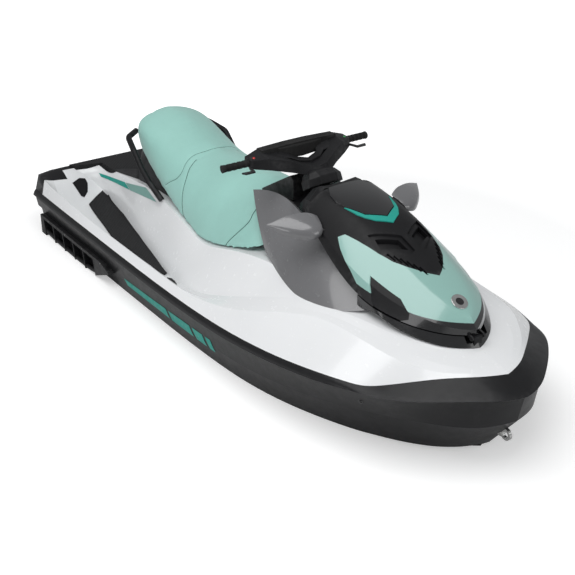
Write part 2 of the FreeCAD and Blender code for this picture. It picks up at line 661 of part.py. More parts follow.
def outward(top, foot, side):
    """The level direction out of the hull, square to the side or to the stem."""
    if foot.y == 0:
        return Vector(1, 0, 0)
    out = Vector(foot.x - top.x, foot.y - top.y, 0)
    return out.normalize() if out.Length > size("flange_step") else Vector(0, side, 0)


def inner_foot(side):
    """The lower inner edge of the rub rail, one flange step inside the sheer."""
    drop = Vector(0, 0, size("skirt"))
    return [top - outward(top, foot, side) * size("flange_step") - drop
            for top, foot in zip(sheer_line(side), flange_line(side))]


def parting(side):
    """The level joint between the hull and the deck moulding, inside the hull."""
    return [Vector(along * length, side * across * half_beam, size("parting_height"))
            for along, across in parting_shares]


def inner_head(side):
    return moved(inner_foot(side), up=size("skirt"))


# Hull: keel, chines, sides and flange, closed across at the parting height.
def hull_faces(side):
    chain = [line(keel_shares, side), line(chine_inner_shares, side), line(chine_shares, side),
             line(hull_side_shares, side), flange_line(side), inner_foot(side), parting(side)]
    return strips(chain, [0] * len(chain))


def hull_solid():
    faces = both(hull_faces)
    faces.append(flat_face([parting(STARBOARD), parting(PORT)]))
    return capped(faces)


def tunnel_cut():
    """The pump tunnel, open astern and below, with the inlet duct rising from the grate."""
    half = size("tunnel_width") / 2
    run = size("overrun")
    tunnel = box(Vector(-run, -half, -run), Vector(size("tunnel_length"), half, size("tunnel_top")))
    front = size("tunnel_length")
    axis = size("pump_height")
    bore = size("pump_bore")
    duct_half = size("grate_width") / 2
    roof = [Vector(front - run, 0, axis + bore), Vector(front + bore, 0, axis + bore),
            Vector(size("grate_end"), 0, -run), Vector(size("grate_start"), 0, -run),
            Vector(size("grate_start") - bore, 0, axis - bore), Vector(front - run, 0, axis - bore)]
    duct = prism(moved(roof, across=-duct_half), Vector(0, 2 * duct_half, 0))
    shaft = Part.makeCylinder(size("shaft_radius") + size("running_gap"), size("engine_back") - front,
                              Vector(front, 0, axis), Vector(1, 0, 0))
    return tunnel.fuse(duct).fuse(shaft)


def engine_block():
    half = size("engine_width") / 2
    low = Vector(size("engine_back"), -half, size("engine_base"))
    return box(low, low + Vector(size("engine_length"), 2 * half, size("engine_tall")))


def bin_box(grow):
    half = size("bin_width") / 2 + grow
    return box(Vector(size("bin_back") - grow, -half, size("bin_floor") - grow),
               Vector(size("bin_front") + grow, half, height))


def transom_cut():
    """The step that sets the hull's transom ahead of the deck's stern edge."""
    run = size("overrun")
    return box(Vector(-run, -half_beam, -run), Vector(size("transom_step"), half_beam, size("parting_height")))


hull = hull_solid().cut(tunnel_cut()).cut(engine_block()).cut(transom_cut())
keep("hull", hull)
keep("engine", engine_block())


# Deck: sheer, gunwale, foot wells, pedestal and centre in one moulding.
def deck_faces(side):
    chain = [parting(side), inner_foot(side), inner_head(side), sheer_line(side), line(gunwale_shares, side),
             line(well_outer_shares, side), line(well_inner_shares, side), line(pedestal_shares, side),
             line(deck_centre_shares, side)]
    return strips(chain, [0] * len(chain))


def deck_solid():
    faces = both(deck_faces)
    faces.append(flat_face([parting(STARBOARD), parting(PORT)]))
    return capped(faces)


deck = deck_solid().cut(bin_box(size("bin_wall")))
keep("deck", deck)


def storage_bin():
    """An open tray with a thin wall."""
    outer = bin_box(size("bin_wall")).common(box(
        Vector(0, -half_beam, 0), Vector(length, half_beam, size("bin_top"))))
    return outer.cut(bin_box(0))


keep("storage_bin", storage_bin())


# Rub rail and bow bumper: one wrap-round moulding, parted where the bumper starts.
def rail_faces(side):
    sheer = sheer_line(side)
    flange = flange_line(side)
    bulge = size("rail_bulge")
    outer_top = []
    outer_foot = []
    lip = []
    for top, foot in zip(sheer, flange):
        out = outward(top, foot, side)
        outer_top.append(top + (foot - top) * rail_knee_share + out * bulge * rail_knee_out_share)
        outer_foot.append(foot + out * size("rail_foot") + Vector(0, 0, size("rail_drop")))
        lip.append(foot + out * size("rail_foot") * rail_knee_share)
    inside = strips([outer_foot, lip, flange, inner_foot(side), inner_head(side), sheer], [0] * 6)
    return inside + [skin([sheer, outer_top, outer_foot], across=2)]


rail = capped(both(rail_faces))
run = size("overrun")
start = size("bumper_start")
bumper = rail.common(box(Vector(start, -half_beam - run, 0), Vector(length + run, half_beam + run, height)))
keep("bow_bumper", bumper)
for name, side in SIDES.items():
    low_y, high_y = (0, half_beam + run) if side == PORT else (-half_beam - run, 0)
    keep("rub_rail_" + name, rail.common(box(Vector(-run, low_y, 0), Vector(start, high_y, height))))


# Seat: one long saddle in two levels.
def seat_faces(side):
    rows = [line(seat_hem_shares, side), line(seat_side_shares, side), line(seat_shoulder_shares, side),
            line(seat_crest_shares, side)]
    return [skin([line(seat_floor_shares, side), rows[0]]), skin(rows, across=2)]


seat = whole(capped(both(seat_faces)).cut(deck.translated(Vector(0, 0, size("seat_gap")))))
keep("seat", seat)


def under_seat():
    """The dark base between the deck and the rear half of the seat."""
    rows = []
    for side in (STARBOARD, PORT):
        rows.append((line(base_foot_shares, side), line(base_head_shares, side)))
    faces = []
    for foot, head in rows:
        faces.append(skin([foot, head]))
    faces.append(skin([rows[0][0], rows[1][0]]))
    faces.append(skin([rows[0][1], rows[1][1]]))
    return whole(capped(faces).cut(deck).cut(seat))


base = under_seat()
keep("seat_base_trim", base)


# Front storage lid: a shell with a raised centre panel, a sunk nose scoop and rows of slots.
def lid_faces(side):
    rows = [line(lid_flank_shares, side), line(lid_shoulder_shares, side),
            line(lid_crown_shares, side), line(lid_ridge_shares, side)]
    return [skin([line(lid_hem_shares, side), rows[0]]), skin(rows, across=2)]


def lid_solid():
    faces = both(lid_faces)
    faces.append(skin([line(lid_hem_shares, STARBOARD), line(lid_hem_shares, PORT)]))
    return capped(faces)


def plan(shares, side=STARBOARD):
    """An outline at keel level, from shares of length and half beam."""
    return [Vector(along * length, side * across * half_beam, 0) for along, across in shares]


def profile(shares, across):
    """An outline seen from the side, from shares of length and height."""
    return [Vector(along * length, across, up * height) for along, up in shares]


def round_plan(shares):
    """A closed outline that starts and ends on the centreline, on both sides."""
    return plan(shares) + plan(shares, PORT)[-2:0:-1]


up_all = Vector(0, 0, height)
wide = half_beam + size("overrun")
hinge = at(*hinge_share)
lug_half = size("lug_wall") / 2
lid_block = lid_solid()


def lug(across):
    """A plate round the hinge pin, carried by the nose of the lid."""
    near = size("lug_radius")
    reach = size("lug_reach")
    bore = size("hinge_pin") + size("pin_gap")
    points = [Vector(hinge.x - reach, 0, hinge.z + near / 2), Vector(hinge.x - near, 0, hinge.z),
              Vector(hinge.x, 0, hinge.z - near), Vector(hinge.x + near, 0, hinge.z),
              Vector(hinge.x, 0, hinge.z + near), Vector(hinge.x - reach, 0, hinge.z + 2 * near)]
    plate = prism(moved(points, across=across - lug_half), Vector(0, 2 * lug_half, 0))
    return plate.cut(cylinder_across(bore, half_beam))


def cylinder_across(radius, half):
    """A cylinder on the lid's hinge line."""
    return Part.makeCylinder(radius, 2 * half, Vector(hinge.x, -half, hinge.z), Vector(0, 1, 0))


def slot_row(side):
    """Slanted slots beside the scoop, evenly spaced between the first and the last."""
    first = at(*slot_first_share)
    last = at(*slot_last_share)
    count = int(size("slot_count"))
    long_side = size("slot_length")
    short_side = size("slot_width")
    slots = []
    for index in range(count):
        middle = first + (last - first) * (index / (count - 1))
        slot = box(Vector(-long_side / 2, -short_side / 2, 0), Vector(long_side / 2, short_side / 2, height))
        slot.rotate(Vector(0, 0, 0), Vector(0, 0, 1), -size("slot_turn"))
        slot.translate(Vector(middle.x, middle.y, 0))
        slots.append(slot)
    row = Part.makeCompound(slots)
    return row if side == PORT else mirrored(row)


def open_lid():
    """The lid as a shell, with its scoop and slots, still in one piece."""
    depth = size("scoop_depth")
    shell = lid_block
    for side in (STARBOARD, PORT):
        shell = sunk_into(shell, plan(scoop_shares, side), up_all, Vector(0, 0, -depth))
        shell = sunk_into(shell, plan(scoop_floor_shares, side), up_all, Vector(0, 0, -2 * depth))
    shallow = lid_block.translated(Vector(0, 0, -size("slot_depth")))
    for side in (STARBOARD, PORT):
        shell = shell.cut(slot_row(side).cut(shallow))
    half = size("bin_width") / 2
    shell = shell.cut(prism(profile(lid_hollow_shares, -half), Vector(0, 2 * half, 0)))
    return shell.cut(cylinder_across(size("lug_radius") + size("moving_gap"), size("lug_spread") - lug_half
                                     - size("pin_gap")))


def centre_region():
    """The dark middle and rear of the lid, as the space it fills."""
    seen_above = prism(round_plan(hood_centre_shares), up_all)
    seen_aside = prism(profile(hood_edge_shares, -wide), Vector(0, 2 * wide, 0))
    return seen_above.fuse(seen_aside)


def vent_region(side):
    """The space of one side vent, as deep as the skin of the lid there."""
    wall = size("vent_wall")
    space = prism(profile(vent_shares, 0), Vector(0, side * wide, 0))
    return space.cut(lid_block.translated(Vector(0, -side * wall, 0)))


lid = open_lid()
region = centre_region()
centre = lid.common(region)
cover = lid.cut(region)
vents = []
for side in (STARBOARD, PORT):
    space = vent_region(side)
    vents.append(cover.common(space).common(lid_block.translated(Vector(0, -side * size("vent_sink"), 0))))
    cover = cover.cut(space)
for across in (-size("lug_spread"), size("lug_spread")):
    cover = cover.fuse(lug(across))
keep("hood_lid", whole(cover))
keep("hood_centre", whole(centre))
keep("side_vents", Part.makeCompound([whole(each) for each in vents]))
panel = laid_on(lid_block, round_plan(emblem_shares), up_all, Vector(0, 0, size("panel_lift")))
keep("hood_panel", whole(panel))
band = plan(chevron_shares) + plan(chevron_shares, PORT)[-2::-1]
band += plan(chevron_inner_shares, PORT) + plan(chevron_inner_shares)[-2::-1]
chevron = laid_on(lid_block, band, up_all, Vector(0, 0, size("trim_lift"))).cut(panel)
keep("chevron_trim", whole(chevron))


def side_panel(side):
    rows = [line(panel_top_shares, side), line(panel_middle_shares, side), line(panel_bottom_shares, side)]
    wall = size("panel_wall")
    return thick(rows, Vector(0, -side * wall, -wall / 2), across=2)


panels = {name: whole(side_panel(side).cut(deck)) for name, side in SIDES.items()}
for name in SIDES:
    keep("side_panel_" + name, panels[name])


# Console under the handlebar, with its collar, display and steering boot.
def dash_faces(side):
    rows = [line(dash_flank_shares, side), line(dash_edge_shares, side), line(dash_top_shares, side)]
    return [skin([line(dash_base_shares, side), rows[0]]), skin(rows, across=2)]


def dash_solid():
    faces = both(dash_faces)
    faces.append(skin([line(dash_base_shares, STARBOARD), line(dash_base_shares, PORT)]))
    return capped(faces)


dash_block = dash_solid()


def sections(table):
    """A faceted solid, the same on both sides, from half sections of points across its length."""
    rings = []
    for along, half in table:
        right = [at(along, -across, up) for across, up in half]
        left = [at(along, across, up) for across, up in half]
        rings.append(right + left[::-1])
    return polygon_loft(rings)


lid_gap = size("moving_gap") + size("running_gap")
collar = sections(collar_shares)
dash = whole(dash_block.fuse(collar))
lid_shifts = [Vector(-lid_gap, 0, 0), Vector(0, 0, -lid_gap), Vector(-lid_gap, 0, -lid_gap)]
for shift in lid_shifts + [Vector(-lid_gap, 0, size("panel_lift"))]:
    dash = dash.cut(lid_block.translated(shift))
for each in panels.values():
    dash = dash.cut(each)
keep("dash", whole(dash.cut(seat).cut(deck)))


def trim_ring():
    """The gloss band between the lid and the deck."""
    gap = size("moving_gap") + size("running_gap")
    heads = [moved(line(lid_hem_shares, side), up=-gap) for side in (STARBOARD, PORT)]
    feet = [line(trim_foot_shares, side) for side in (STARBOARD, PORT)]
    faces = [skin([heads[0], feet[0]]), skin([heads[1], feet[1]]), skin(heads), skin(feet)]
    ring = capped(faces).cut(deck).cut(bin_box(size("bin_wall")))
    start = size("trim_start")
    return ring.common(box(Vector(start, -wide, 0), Vector(length, wide, height)))


def hinge_bracket():
    """The fixed block and pin that carry the lid at its nose."""
    half = size("lug_spread") - lug_half - size("moving_gap")
    thick_half = size("lug_radius") / 2
    block = box(Vector(hinge.x - thick_half, -half, hinge.z - size("bracket_depth")),
                Vector(hinge.x + thick_half, half, hinge.z + size("hinge_pin")))
    pin = cylinder_across(size("hinge_pin"), size("lug_spread") + 2 * lug_half)
    return block.cut(deck).fuse(pin)


bracket = hinge_bracket()
trim = trim_ring().cut(cylinder_across(size("lug_radius") + size("moving_gap"), size("lug_spread") + 4 * lug_half))
lug_space = Vector(size("lug_radius") + lid_gap, size("lug_spread") + 2 * lug_half + lid_gap, 2 * size("lug_radius"))
trim = trim.cut(box(hinge - lug_space - Vector(size("lug_reach"), 0, 0), hinge + lug_space * 2))
trim = trim.cut(bracket)
for each in panels.values():
    trim = trim.cut(each)
keep("nose_trim", whole(trim))
keep("hood_hinge", whole(bracket))


# Display pod ahead of the rider.
def display_pod():
    half = size("display_width") / 2
    return prism(profile(display_shares, -half), Vector(0, 2 * half, 0)).cut(dash_block).cut(seat)


display = display_pod()
keep("display_pod", whole(display))


# Steering: a hub turning on the tilted column, two swept arms, a padded bridge and the grips.
tilt = math.radians(size("column_tilt"))
axis = Vector(-math.sin(tilt), 0, math.cos(tilt))
column = Vector(size("column_x"), 0, size("column_z"))


def on_column(radius, low, high):
    """A round piece on the steering axis, between two heights above the column's foot."""
    return Part.makeCylinder(radius, high - low, column + axis * low, axis)


def arm(side):
    """One swept arm of the handlebar shroud, from the hub out to the grip."""
    rings = []
    for across, corners in arm_shares:
        rings.append([at(along, side * across, up) for along, up in corners])
    return polygon_loft(rings)


gap = size("running_gap")
hub_low = size("hub_low")
bore = on_column(size("post_radius") + gap, hub_low - size("overrun"), size("hub_bore"))
bar = arm(STARBOARD).fuse(arm(PORT)).fuse(on_column(size("hub_radius"), hub_low, size("hub_high"))).cut(bore)
keep("handlebar", whole(bar))
pad = polygon_loft([[at(along, across * side, up) for along, up in corners]
                    for side, (across, corners) in
                    [(STARBOARD, pad_shares[1]), (STARBOARD, pad_shares[0]),
                     (PORT, pad_shares[0]), (PORT, pad_shares[1])]])
keep("bar_pad", whole(pad.cut(bar)))
grip_start = at(*grip_start_share)
grip_end = at(*grip_end_share)


def grip():
    """A ribbed grip with a flange at its inner end and a plug at its outer end."""
    direction = grip_end - grip_start
    reach = direction.Length
    unit = direction.normalize()
    radius = size("grip_radius")
    rib = size("grip_rib")
    count = int(size("grip_ribs"))
    points = [(0, 0), (radius + 2 * rib, 0), (radius + 2 * rib, 2 * rib), (radius, 2 * rib)]
    pitch = (reach - 6 * rib) / count
    for index in range(count):
        foot = 2 * rib + pitch * index
        points += [(radius, foot + pitch / 2), (radius + rib, foot + pitch / 2), (radius + rib, foot + pitch),
                   (radius, foot + pitch)]
    points += [(radius, reach - 4 * rib), (radius + 2 * rib, reach - 4 * rib), (radius + 2 * rib, reach - rib),
               (radius, reach), (0, reach)]
    turned = Part.Face(Part.makePolygon([Vector(out, 0, along) for out, along in points] + [Vector(0, 0, 0)]))
    solid = turned.revolve(Vector(0, 0, 0), Vector(0, 0, 1), 360)
    solid.Placement = Placement(grip_start, Rotation(Vector(0, 0, 1), unit))
    return solid


right_grip = grip().cut(bar)
keep("grips", pair(whole(right_grip)))


def lever():
    """A thin control lever ahead of the grip."""
    points = [at(*share) for share in lever_shares]
    wall = size("lever_wall")
    plate = prism(points, Vector(0, 0, wall))
    return whole(plate.cut(bar).cut(right_grip))


keep("levers", pair(lever()))
post = on_column(size("post_radius"), hub_low - size("post_depth"), size("hub_bore") - size("overrun"))
boot_low = size("boot_depth")
cone = Part.makeCone(size("boot_radius"), size("hub_radius"), boot_low, column + axis * (hub_low - gap - boot_low), axis)
boot = cone.fuse(post).cut(dash_block).cut(collar).cut(display)
keep("steering_boot", whole(boot))


# Mirrors: a curved shell, its dark bracket and the glass facing aft.
def mirror_shell(side):
    rows = [line(mirror_low_shares, side), line(mirror_belly_shares, side), line(mirror_top_shares, side)]
    front = skin(rows, along=2, across=2)
    back = skin([rows[0], rows[2]], along=2)
    return capped([front, back])


def mirror_arm(side):
    return polygon_loft([[at(along, side * across, up) for along, up in ring] for across, ring in mirror_arm_shares])


def mirror_glass(side):
    """A thin plate on the shell's back, a little smaller than the shell."""
    rows = [line(mirror_low_shares, side), line(mirror_top_shares, side)]
    middle = (rows[0][2] + rows[1][2]) / 2
    wall = size("glass_wall")
    small = [[middle + (pole - middle) * glass_size_share + Vector(-size("seat_gap"), 0, 0) for pole in row]
             for row in rows]
    return thick(small, Vector(-wall, 0, 0), along=2)


shell_right = mirror_shell(STARBOARD)
arm_right = mirror_arm(STARBOARD).cut(shell_right).cut(lid_block).cut(panels["starboard"])
keep("mirror_shells", pair(shell_right))
keep("mirror_arms", pair(whole(arm_right)))
keep("mirror_glasses", pair(whole(mirror_glass(STARBOARD).cut(shell_right).cut(arm_right))))


# Mats, insets and small deck pieces.
def mat(shares, up, side):
    """A flat-topped mat on the deck, up to a height."""
    outline = [at(along, side * across, up) for along, across in shares]
    lower = Vector(0, 0, -size("mat_reach"))
    return whole(prism(outline, lower).cut(deck))


well_top = size("well_mat_top") / height
for name, side in SIDES.items():
    keep("footwell_mat_" + name, mat(well_mat_shares, well_top, side))
rear = [at(along, across, size("rear_mat_top") / height) for along, across in rear_mat_shares]
rear += [Vector(each.x, -each.y, each.z) for each in reversed(rear)]
keep("platform_mat", whole(prism(rear, Vector(0, 0, -size("mat_reach"))).cut(deck)))


def grab_handle(side):
    """A bent tube from the back of the seat down to the deck."""
    points = [at(along, side * across, up) for along, across, up in grab_shares]
    return whole(tube(points, size("handle_radius"), size("handle_bend")).cut(deck).cut(seat).cut(base))


for name, side in SIDES.items():
    keep("grab_handle_" + name, grab_handle(side))


def sponson(side):
    """A stabiliser with open bays between its ribs."""
    outer = size("sponson_out")
    inner = size("sponson_in")
    block = prism(profile(sponson_shares, side * inner), Vector(0, side * (outer - inner), 0))
    start = size("bay_start")
    pitch = (size("bay_end") - start) / size("sponson_bays")
    wall = size("sponson_wall")
    for index in range(int(size("sponson_bays"))):
        first = start + pitch * index
        points = [Vector(first, 0, size("bay_top")), Vector(first + pitch - wall, 0, size("bay_top")),
                  Vector(first + pitch - wall + size("bay_lean"), 0, size("bay_base")),
                  Vector(first + size("bay_lean"), 0, size("bay_base"))]
        bay = prism(moved(points, across=side * (outer - size("bay_depth"))),
                    Vector(0, side * size("sponson_depth"), 0))
        block = block.cut(bay)
    return whole(block.cut(hull))


for name, side in SIDES.items():
    keep("sponson_" + name, sponson(side))


def eye(place, out):
    """A tow eye: a thick plate with a bore across the craft, on a round base."""
    radius = size("eye_radius")
    wall = size("eye_wire")
    middle = place + out * radius
    across = Vector(0, 1, 0)
    plate = Part.makeCylinder(radius, 2 * wall, middle - across * wall, across)
    foot = Part.makeCylinder(radius * eye_plate_share, 2 * wall, place - out * wall, out)
    bore = Part.makeCylinder(size("eye_bore"), 4 * wall, middle - across * 2 * wall, across)
    return plate.fuse(foot).cut(bore)


bow_eye = eye(at(*bow_eye_share), Vector(1, 0, 0)).cut(hull)
keep("bow_eye", max(bow_eye.Solids, key=lambda each: each.Volume))
stern_place = at(0, *stern_eye_share) + Vector(size("transom_step"), 0, 0)
stern_eye = eye(stern_place, Vector(-1, 0, 0)).cut(hull)
keep("stern_eyes", pair(max(stern_eye.Solids, key=lambda each: each.Volume)))


# Pieces whose sizes are bound to the sheet's cells.
def bind(item, settings):
    """Tie properties of an object to expressions in the sheet's names."""
    for path, text in settings.items():
        item.setExpression(path, text)


def named(text):
    """An expression in which each bare size name points to the sheet."""
    words = []
    for word in text.split():
        words.append("sizes." + word if word in sizes else word)
    return " ".join(words)


def value_of(text):
    return float(sheet.evalExpression(named(text)))


def place_body(item, along, across="0", up="0"):
    """Put a body's own origin at a point of the hull's frame."""
    bind(item, {
        "Placement.Base.x": named(along + " - length / 2"),
        "Placement.Base.y": named(across),
        "Placement.Base.z": named(up + " - draft"),
    })


def origin_plane(item, role):
    return next(each for each in item.Origin.OriginFeatures if each.Role == role)


def new_body(label):
    item = doc.addObject("PartDesign::Body", label)
    item.Label = label
    return item


def new_sketch(item, role, name, corners):
    """A closed outline on an origin plane, each corner held by two expressions."""
    sketch = item.newObject("Sketcher::SketchObject", name)
    sketch.AttachmentSupport = (origin_plane(item, role), [""])
    sketch.MapMode = "FlatFace"
    places = [Vector(value_of(right), value_of(up), 0) for right, up in corners]
    count = len(places)
    for index in range(count):
        sketch.addGeometry(Part.LineSegment(places[index], places[(index + 1) % count]), False)
    for index in range(count):
        sketch.addConstraint(Sketcher.Constraint("Coincident", index, 2, (index + 1) % count, 1))
    for index, (right, up) in enumerate(corners):
        for kind, text, number in (("DistanceX", right, places[index].x), ("DistanceY", up, places[index].y)):
            held = sketch.addConstraint(Sketcher.Constraint(kind, -1, 1, index, 1, number))
            if text != "0":
                sketch.setExpression("Constraints[%d]" % held, named(text))
    return sketch


def turned(item, sketch, name, axis="H_Axis"):
    """A solid of revolution about an axis of its sketch."""
    feature = item.newObject("PartDesign::Revolution", name)
    feature.Profile = sketch
    feature.ReferenceAxis = (sketch, [axis])
    feature.Angle = 360
    sketch.Visibility = False
    item.Tip = feature
    return feature


def padded(item, sketch, name, depth, middle=False):
    feature = item.newObject("PartDesign::Pad", name)
    feature.Profile = sketch
    feature.setExpression("Length", named(depth))
    feature.Midplane = middle
    return feature


def spun(item, features, name, count):
    """Copies of features about the body's own x axis."""
    pattern = item.newObject("PartDesign::PolarPattern", name)
    pattern.Originals = features
    pattern.Axis = (origin_plane(item, "X_Axis"), [""])
    pattern.Angle = 360
    pattern.setExpression("Occurrences", named(count))
    item.Tip = pattern
    return pattern


def new_circle(item, role, name, along, radius):
    """A circle on an origin plane, centred on its level axis."""
    sketch = item.newObject("Sketcher::SketchObject", name)
    sketch.AttachmentSupport = (origin_plane(item, role), [""])
    sketch.MapMode = "FlatFace"
    sketch.addGeometry(Part.Circle(Vector(value_of(along), 0, 0), Vector(0, 0, 1), value_of(radius)), False)
    held = sketch.addConstraint(Sketcher.Constraint("Radius", 0, value_of(radius)))
    sketch.setExpression("Constraints[%d]" % held, named(radius))
    sketch.addConstraint(Sketcher.Constraint("PointOnObject", 0, 3, -1))
    held = sketch.addConstraint(Sketcher.Constraint("DistanceX", -1, 1, 0, 3, value_of(along)))
    if along != "0":
        sketch.setExpression("Constraints[%d]" % held, named(along))
    return sketch


def pivot_pair(item, role, name, along, radius, foot, depth):
    """A round boss standing off an origin plane, and its mirror image."""
    sketch = new_circle(item, role, name + "_outline", along, radius)
    sketch.setExpression("AttachmentOffset.Base.z", named(foot))
    boss = padded(item, sketch, name, depth)
    twin = item.newObject("PartDesign::Mirrored", name + "_twin")
    twin.Originals = [boss]
    twin.MirrorPlane = (origin_plane(item, role), [""])
    item.Tip = twin
    return boss


def finish(item):
    nodes.append(item)


# Pump housing: wear ring, flange, venturi, and a hub held by slanted guide vanes.
pump = new_body("pump_housing")
place_body(pump, "pump_back", "0", "pump_height")
wall_outline = new_sketch(pump, "XZ_Plane", "housing_outline", [
    ("venturi_end - pump_back", "nozzle_bore"),
    ("venturi_neck - pump_back", "nozzle_bore"),
    ("0", "pump_bore"),
    ("pump_front - pump_back", "pump_bore"),
    ("pump_front - pump_back", "flange_radius"),
    ("pump_front - pump_back - flange_wall", "flange_radius"),
    ("pump_front - pump_back - flange_wall", "pump_radius"),
    ("0", "pump_radius"),
    ("venturi_neck - pump_back", "nozzle_bore + nozzle_wall"),
    ("venturi_end - pump_back", "nozzle_bore + nozzle_wall"),
])
turned(pump, wall_outline, "housing")
vane_outline = new_sketch(pump, "XY_Plane", "vane_outline", [
    ("stator_back - pump_back", "vane_wall / 2"),
    ("stator_back - pump_back + stator_length / 2", "vane_wall * 1.5"),
    ("stator_back - pump_back + stator_length", "vane_sweep"),
    ("stator_back - pump_back + stator_length", "vane_sweep + vane_wall"),
    ("stator_back - pump_back + stator_length / 2", "vane_wall * 3"),
    ("stator_back - pump_back", "vane_wall * 1.5"),
])
vane = padded(pump, vane_outline, "vane", "( pump_bore + pump_radius ) / 2")
spun(pump, [vane], "vanes", "vane_count")
hub_outline = new_sketch(pump, "XZ_Plane", "hub_outline", [
    ("stator_back - pump_back - stator_hub", "0"),
    ("stator_back - pump_back - vane_wall", "stator_hub"),
    ("stator_back - pump_back + stator_length + vane_wall", "stator_hub"),
    ("stator_back - pump_back + stator_length + vane_wall", "0"),
])
turned(pump, hub_outline, "hub")
pivot_pair(pump, "XY_Plane", "steer_pin", "steer_pivot - pump_back", "pin_radius",
           "nozzle_bore + nozzle_wall / 2", "steer_bore - nozzle_bore + nozzle_wall / 2")
finish(pump)

# Steering nozzle: a tapered pipe with a round pivot boss at each side for the bucket.
nozzle = new_body("steering_nozzle")
place_body(nozzle, "steer_pivot", "0", "pump_height")
nozzle_outline = new_sketch(nozzle, "XZ_Plane", "nozzle_outline", [
    ("steer_front", "steer_bore"),
    ("steer_front", "steer_bore + nozzle_wall"),
    ("0 - steer_straight", "steer_bore + nozzle_wall"),
    ("0 - steer_length", "steer_mouth + nozzle_wall"),
    ("0 - steer_length", "steer_mouth"),
    ("0 - steer_straight", "steer_bore"),
])
turned(nozzle, nozzle_outline, "pipe")
pivot_pair(nozzle, "XZ_Plane", "bucket_boss", "0 - bucket_pivot", "boss_radius",
           "steer_bore + nozzle_wall / 2", "bucket_width / 2 - bucket_wall - seat_gap - steer_bore - nozzle_wall / 2")
pivot_pair(nozzle, "XZ_Plane", "bucket_pin", "0 - bucket_pivot", "pin_radius",
           "steer_bore + nozzle_wall", "bucket_width / 2 - steer_bore")
steer_hole = new_circle(nozzle, "XY_Plane", "steer_hole_outline", "0", "pin_radius + pin_gap")
hole = nozzle.newObject("PartDesign::Pocket", "steer_hole")
hole.Profile = steer_hole
hole.Midplane = True
hole.setExpression("Length", named("( steer_bore + nozzle_wall ) * 3"))
finish(nozzle)

# Ride plate: a shallow vee under the pump, with two strakes.
ride = new_body("ride_plate")
place_body(ride, "ride_plate_start", "0", "ride_plate_base")
ride_outline = new_sketch(ride, "YZ_Plane", "ride_outline", [
    ("0", "0"),
    ("tunnel_width / 2 - seat_gap", "ride_plate_rise"),
    ("tunnel_width / 2 - seat_gap", "ride_plate_rise + ride_plate_wall"),
    ("0", "ride_plate_wall"),
    ("seat_gap - tunnel_width / 2", "ride_plate_rise + ride_plate_wall"),
    ("seat_gap - tunnel_width / 2", "ride_plate_rise"),
])
padded(ride, ride_outline, "plate", "tunnel_length - ride_plate_start - seat_gap")
finish(ride)


# Impeller: hub and pitched blades on a long shaft.
def helix_row(radius, back, run, turn_start):
    """Poles along a helix about the pump axis."""
    count = int(size("impeller_poles"))
    turn = 2 * math.pi * run / size("impeller_pitch")
    row = []
    for index in range(count):
        share = index / (count - 1)
        angle = turn_start + turn * share
        row.append(Vector(back + run * share, radius * math.cos(angle), radius * math.sin(angle)))
    return row


def impeller_shape():
    run = size("impeller_length")
    back = size("impeller_back")
    hub = Part.makeCylinder(size("impeller_hub"), run, Vector(back, 0, 0), Vector(1, 0, 0))
    wall = size("impeller_wall")
    shape = hub
    count = int(size("impeller_blades"))
    for index in range(count):
        start = 2 * math.pi * index / count
        root = helix_row(size("impeller_hub") - wall, back + wall / 2, run - 2 * wall, start)
        tip = helix_row(size("impeller_radius"), back + wall / 2, run - 2 * wall, start)
        shape = shape.fuse(thick([root, tip], Vector(wall, 0, 0)))
    front = size("engine_back") - size("seat_gap")
    shaft = Part.makeCylinder(size("shaft_radius"), front - back - wall, Vector(back + wall, 0, 0), Vector(1, 0, 0))
    shape = shape.fuse(shaft)
    return shape.translated(Vector(0, 0, size("pump_height")))


keep("impeller", whole(impeller_shape()))


# Reverse bucket: a curved gate between two side plates, raised above the nozzle.
def across_cylinder(radius, half, sweep):
    """A cylinder across the craft, swept up from straight ahead."""
    shape = Part.makeCylinder(radius, 2 * half, Vector(0, 0, -half), Vector(0, 0, 1), sweep)
    shape.rotate(Vector(0, 0, 0), Vector(1, 0, 0), 90)
    return shape


def bucket_shape():
    radius = size("bucket_radius")
    wall = size("bucket_wall")
    half = size("bucket_width") / 2
    whole_turn = 360
    shell = across_cylinder(radius + wall, half, size("bucket_sweep"))
    shell.rotate(Vector(0, 0, 0), Vector(0, 1, 0), -size("bucket_start"))
    core = across_cylinder(radius, half - wall, whole_turn)
    ear = across_cylinder(size("boss_radius") + wall, half, whole_turn)
    gate = shell.fuse(ear).cut(core)
    gate = gate.cut(across_cylinder(size("pin_radius") + size("pin_gap"), half + wall, whole_turn))
    return gate.translated(Vector(size("steer_pivot") - size("bucket_pivot"), 0, size("pump_height")))


keep("reverse_bucket", whole(bucket_shape()))


def grate():
    """Bars across the inlet, following the vee of the keel."""
    start = size("grate_start") - size("pump_bore")
    end = size("grate_end")
    half = size("grate_width") / 2
    bar = size("grate_bar")
    deep = size("grate_depth")
    slope = keel_slope_share
    bars = []
    count = int(size("grate_bars"))
    for index in range(count):
        across = -half + bar / 2 + (2 * half - bar) * index / (count - 1)
        foot = abs(across) * slope + bar / 2
        bars.append(box(Vector(start, across - bar / 2, foot), Vector(end, across + bar / 2, foot + deep)))
    for along in (size("grate_start"), (start + end) / 2, size("grate_end") - size("pump_bore") - 2 * bar):
        points = [Vector(along, -half, half * slope + bar), Vector(along, 0, bar), Vector(along, half, half * slope + bar),
                  Vector(along, half, half * slope + deep), Vector(along, 0, deep), Vector(along, -half, half * slope + deep)]
        bars.append(prism(points, Vector(bar, 0, 0)))
    shape = bars[0]
    for each in bars[1:]:
        shape = shape.fuse(each)
    return shape.cut(hull)


keep("intake_grate", whole(grate()))

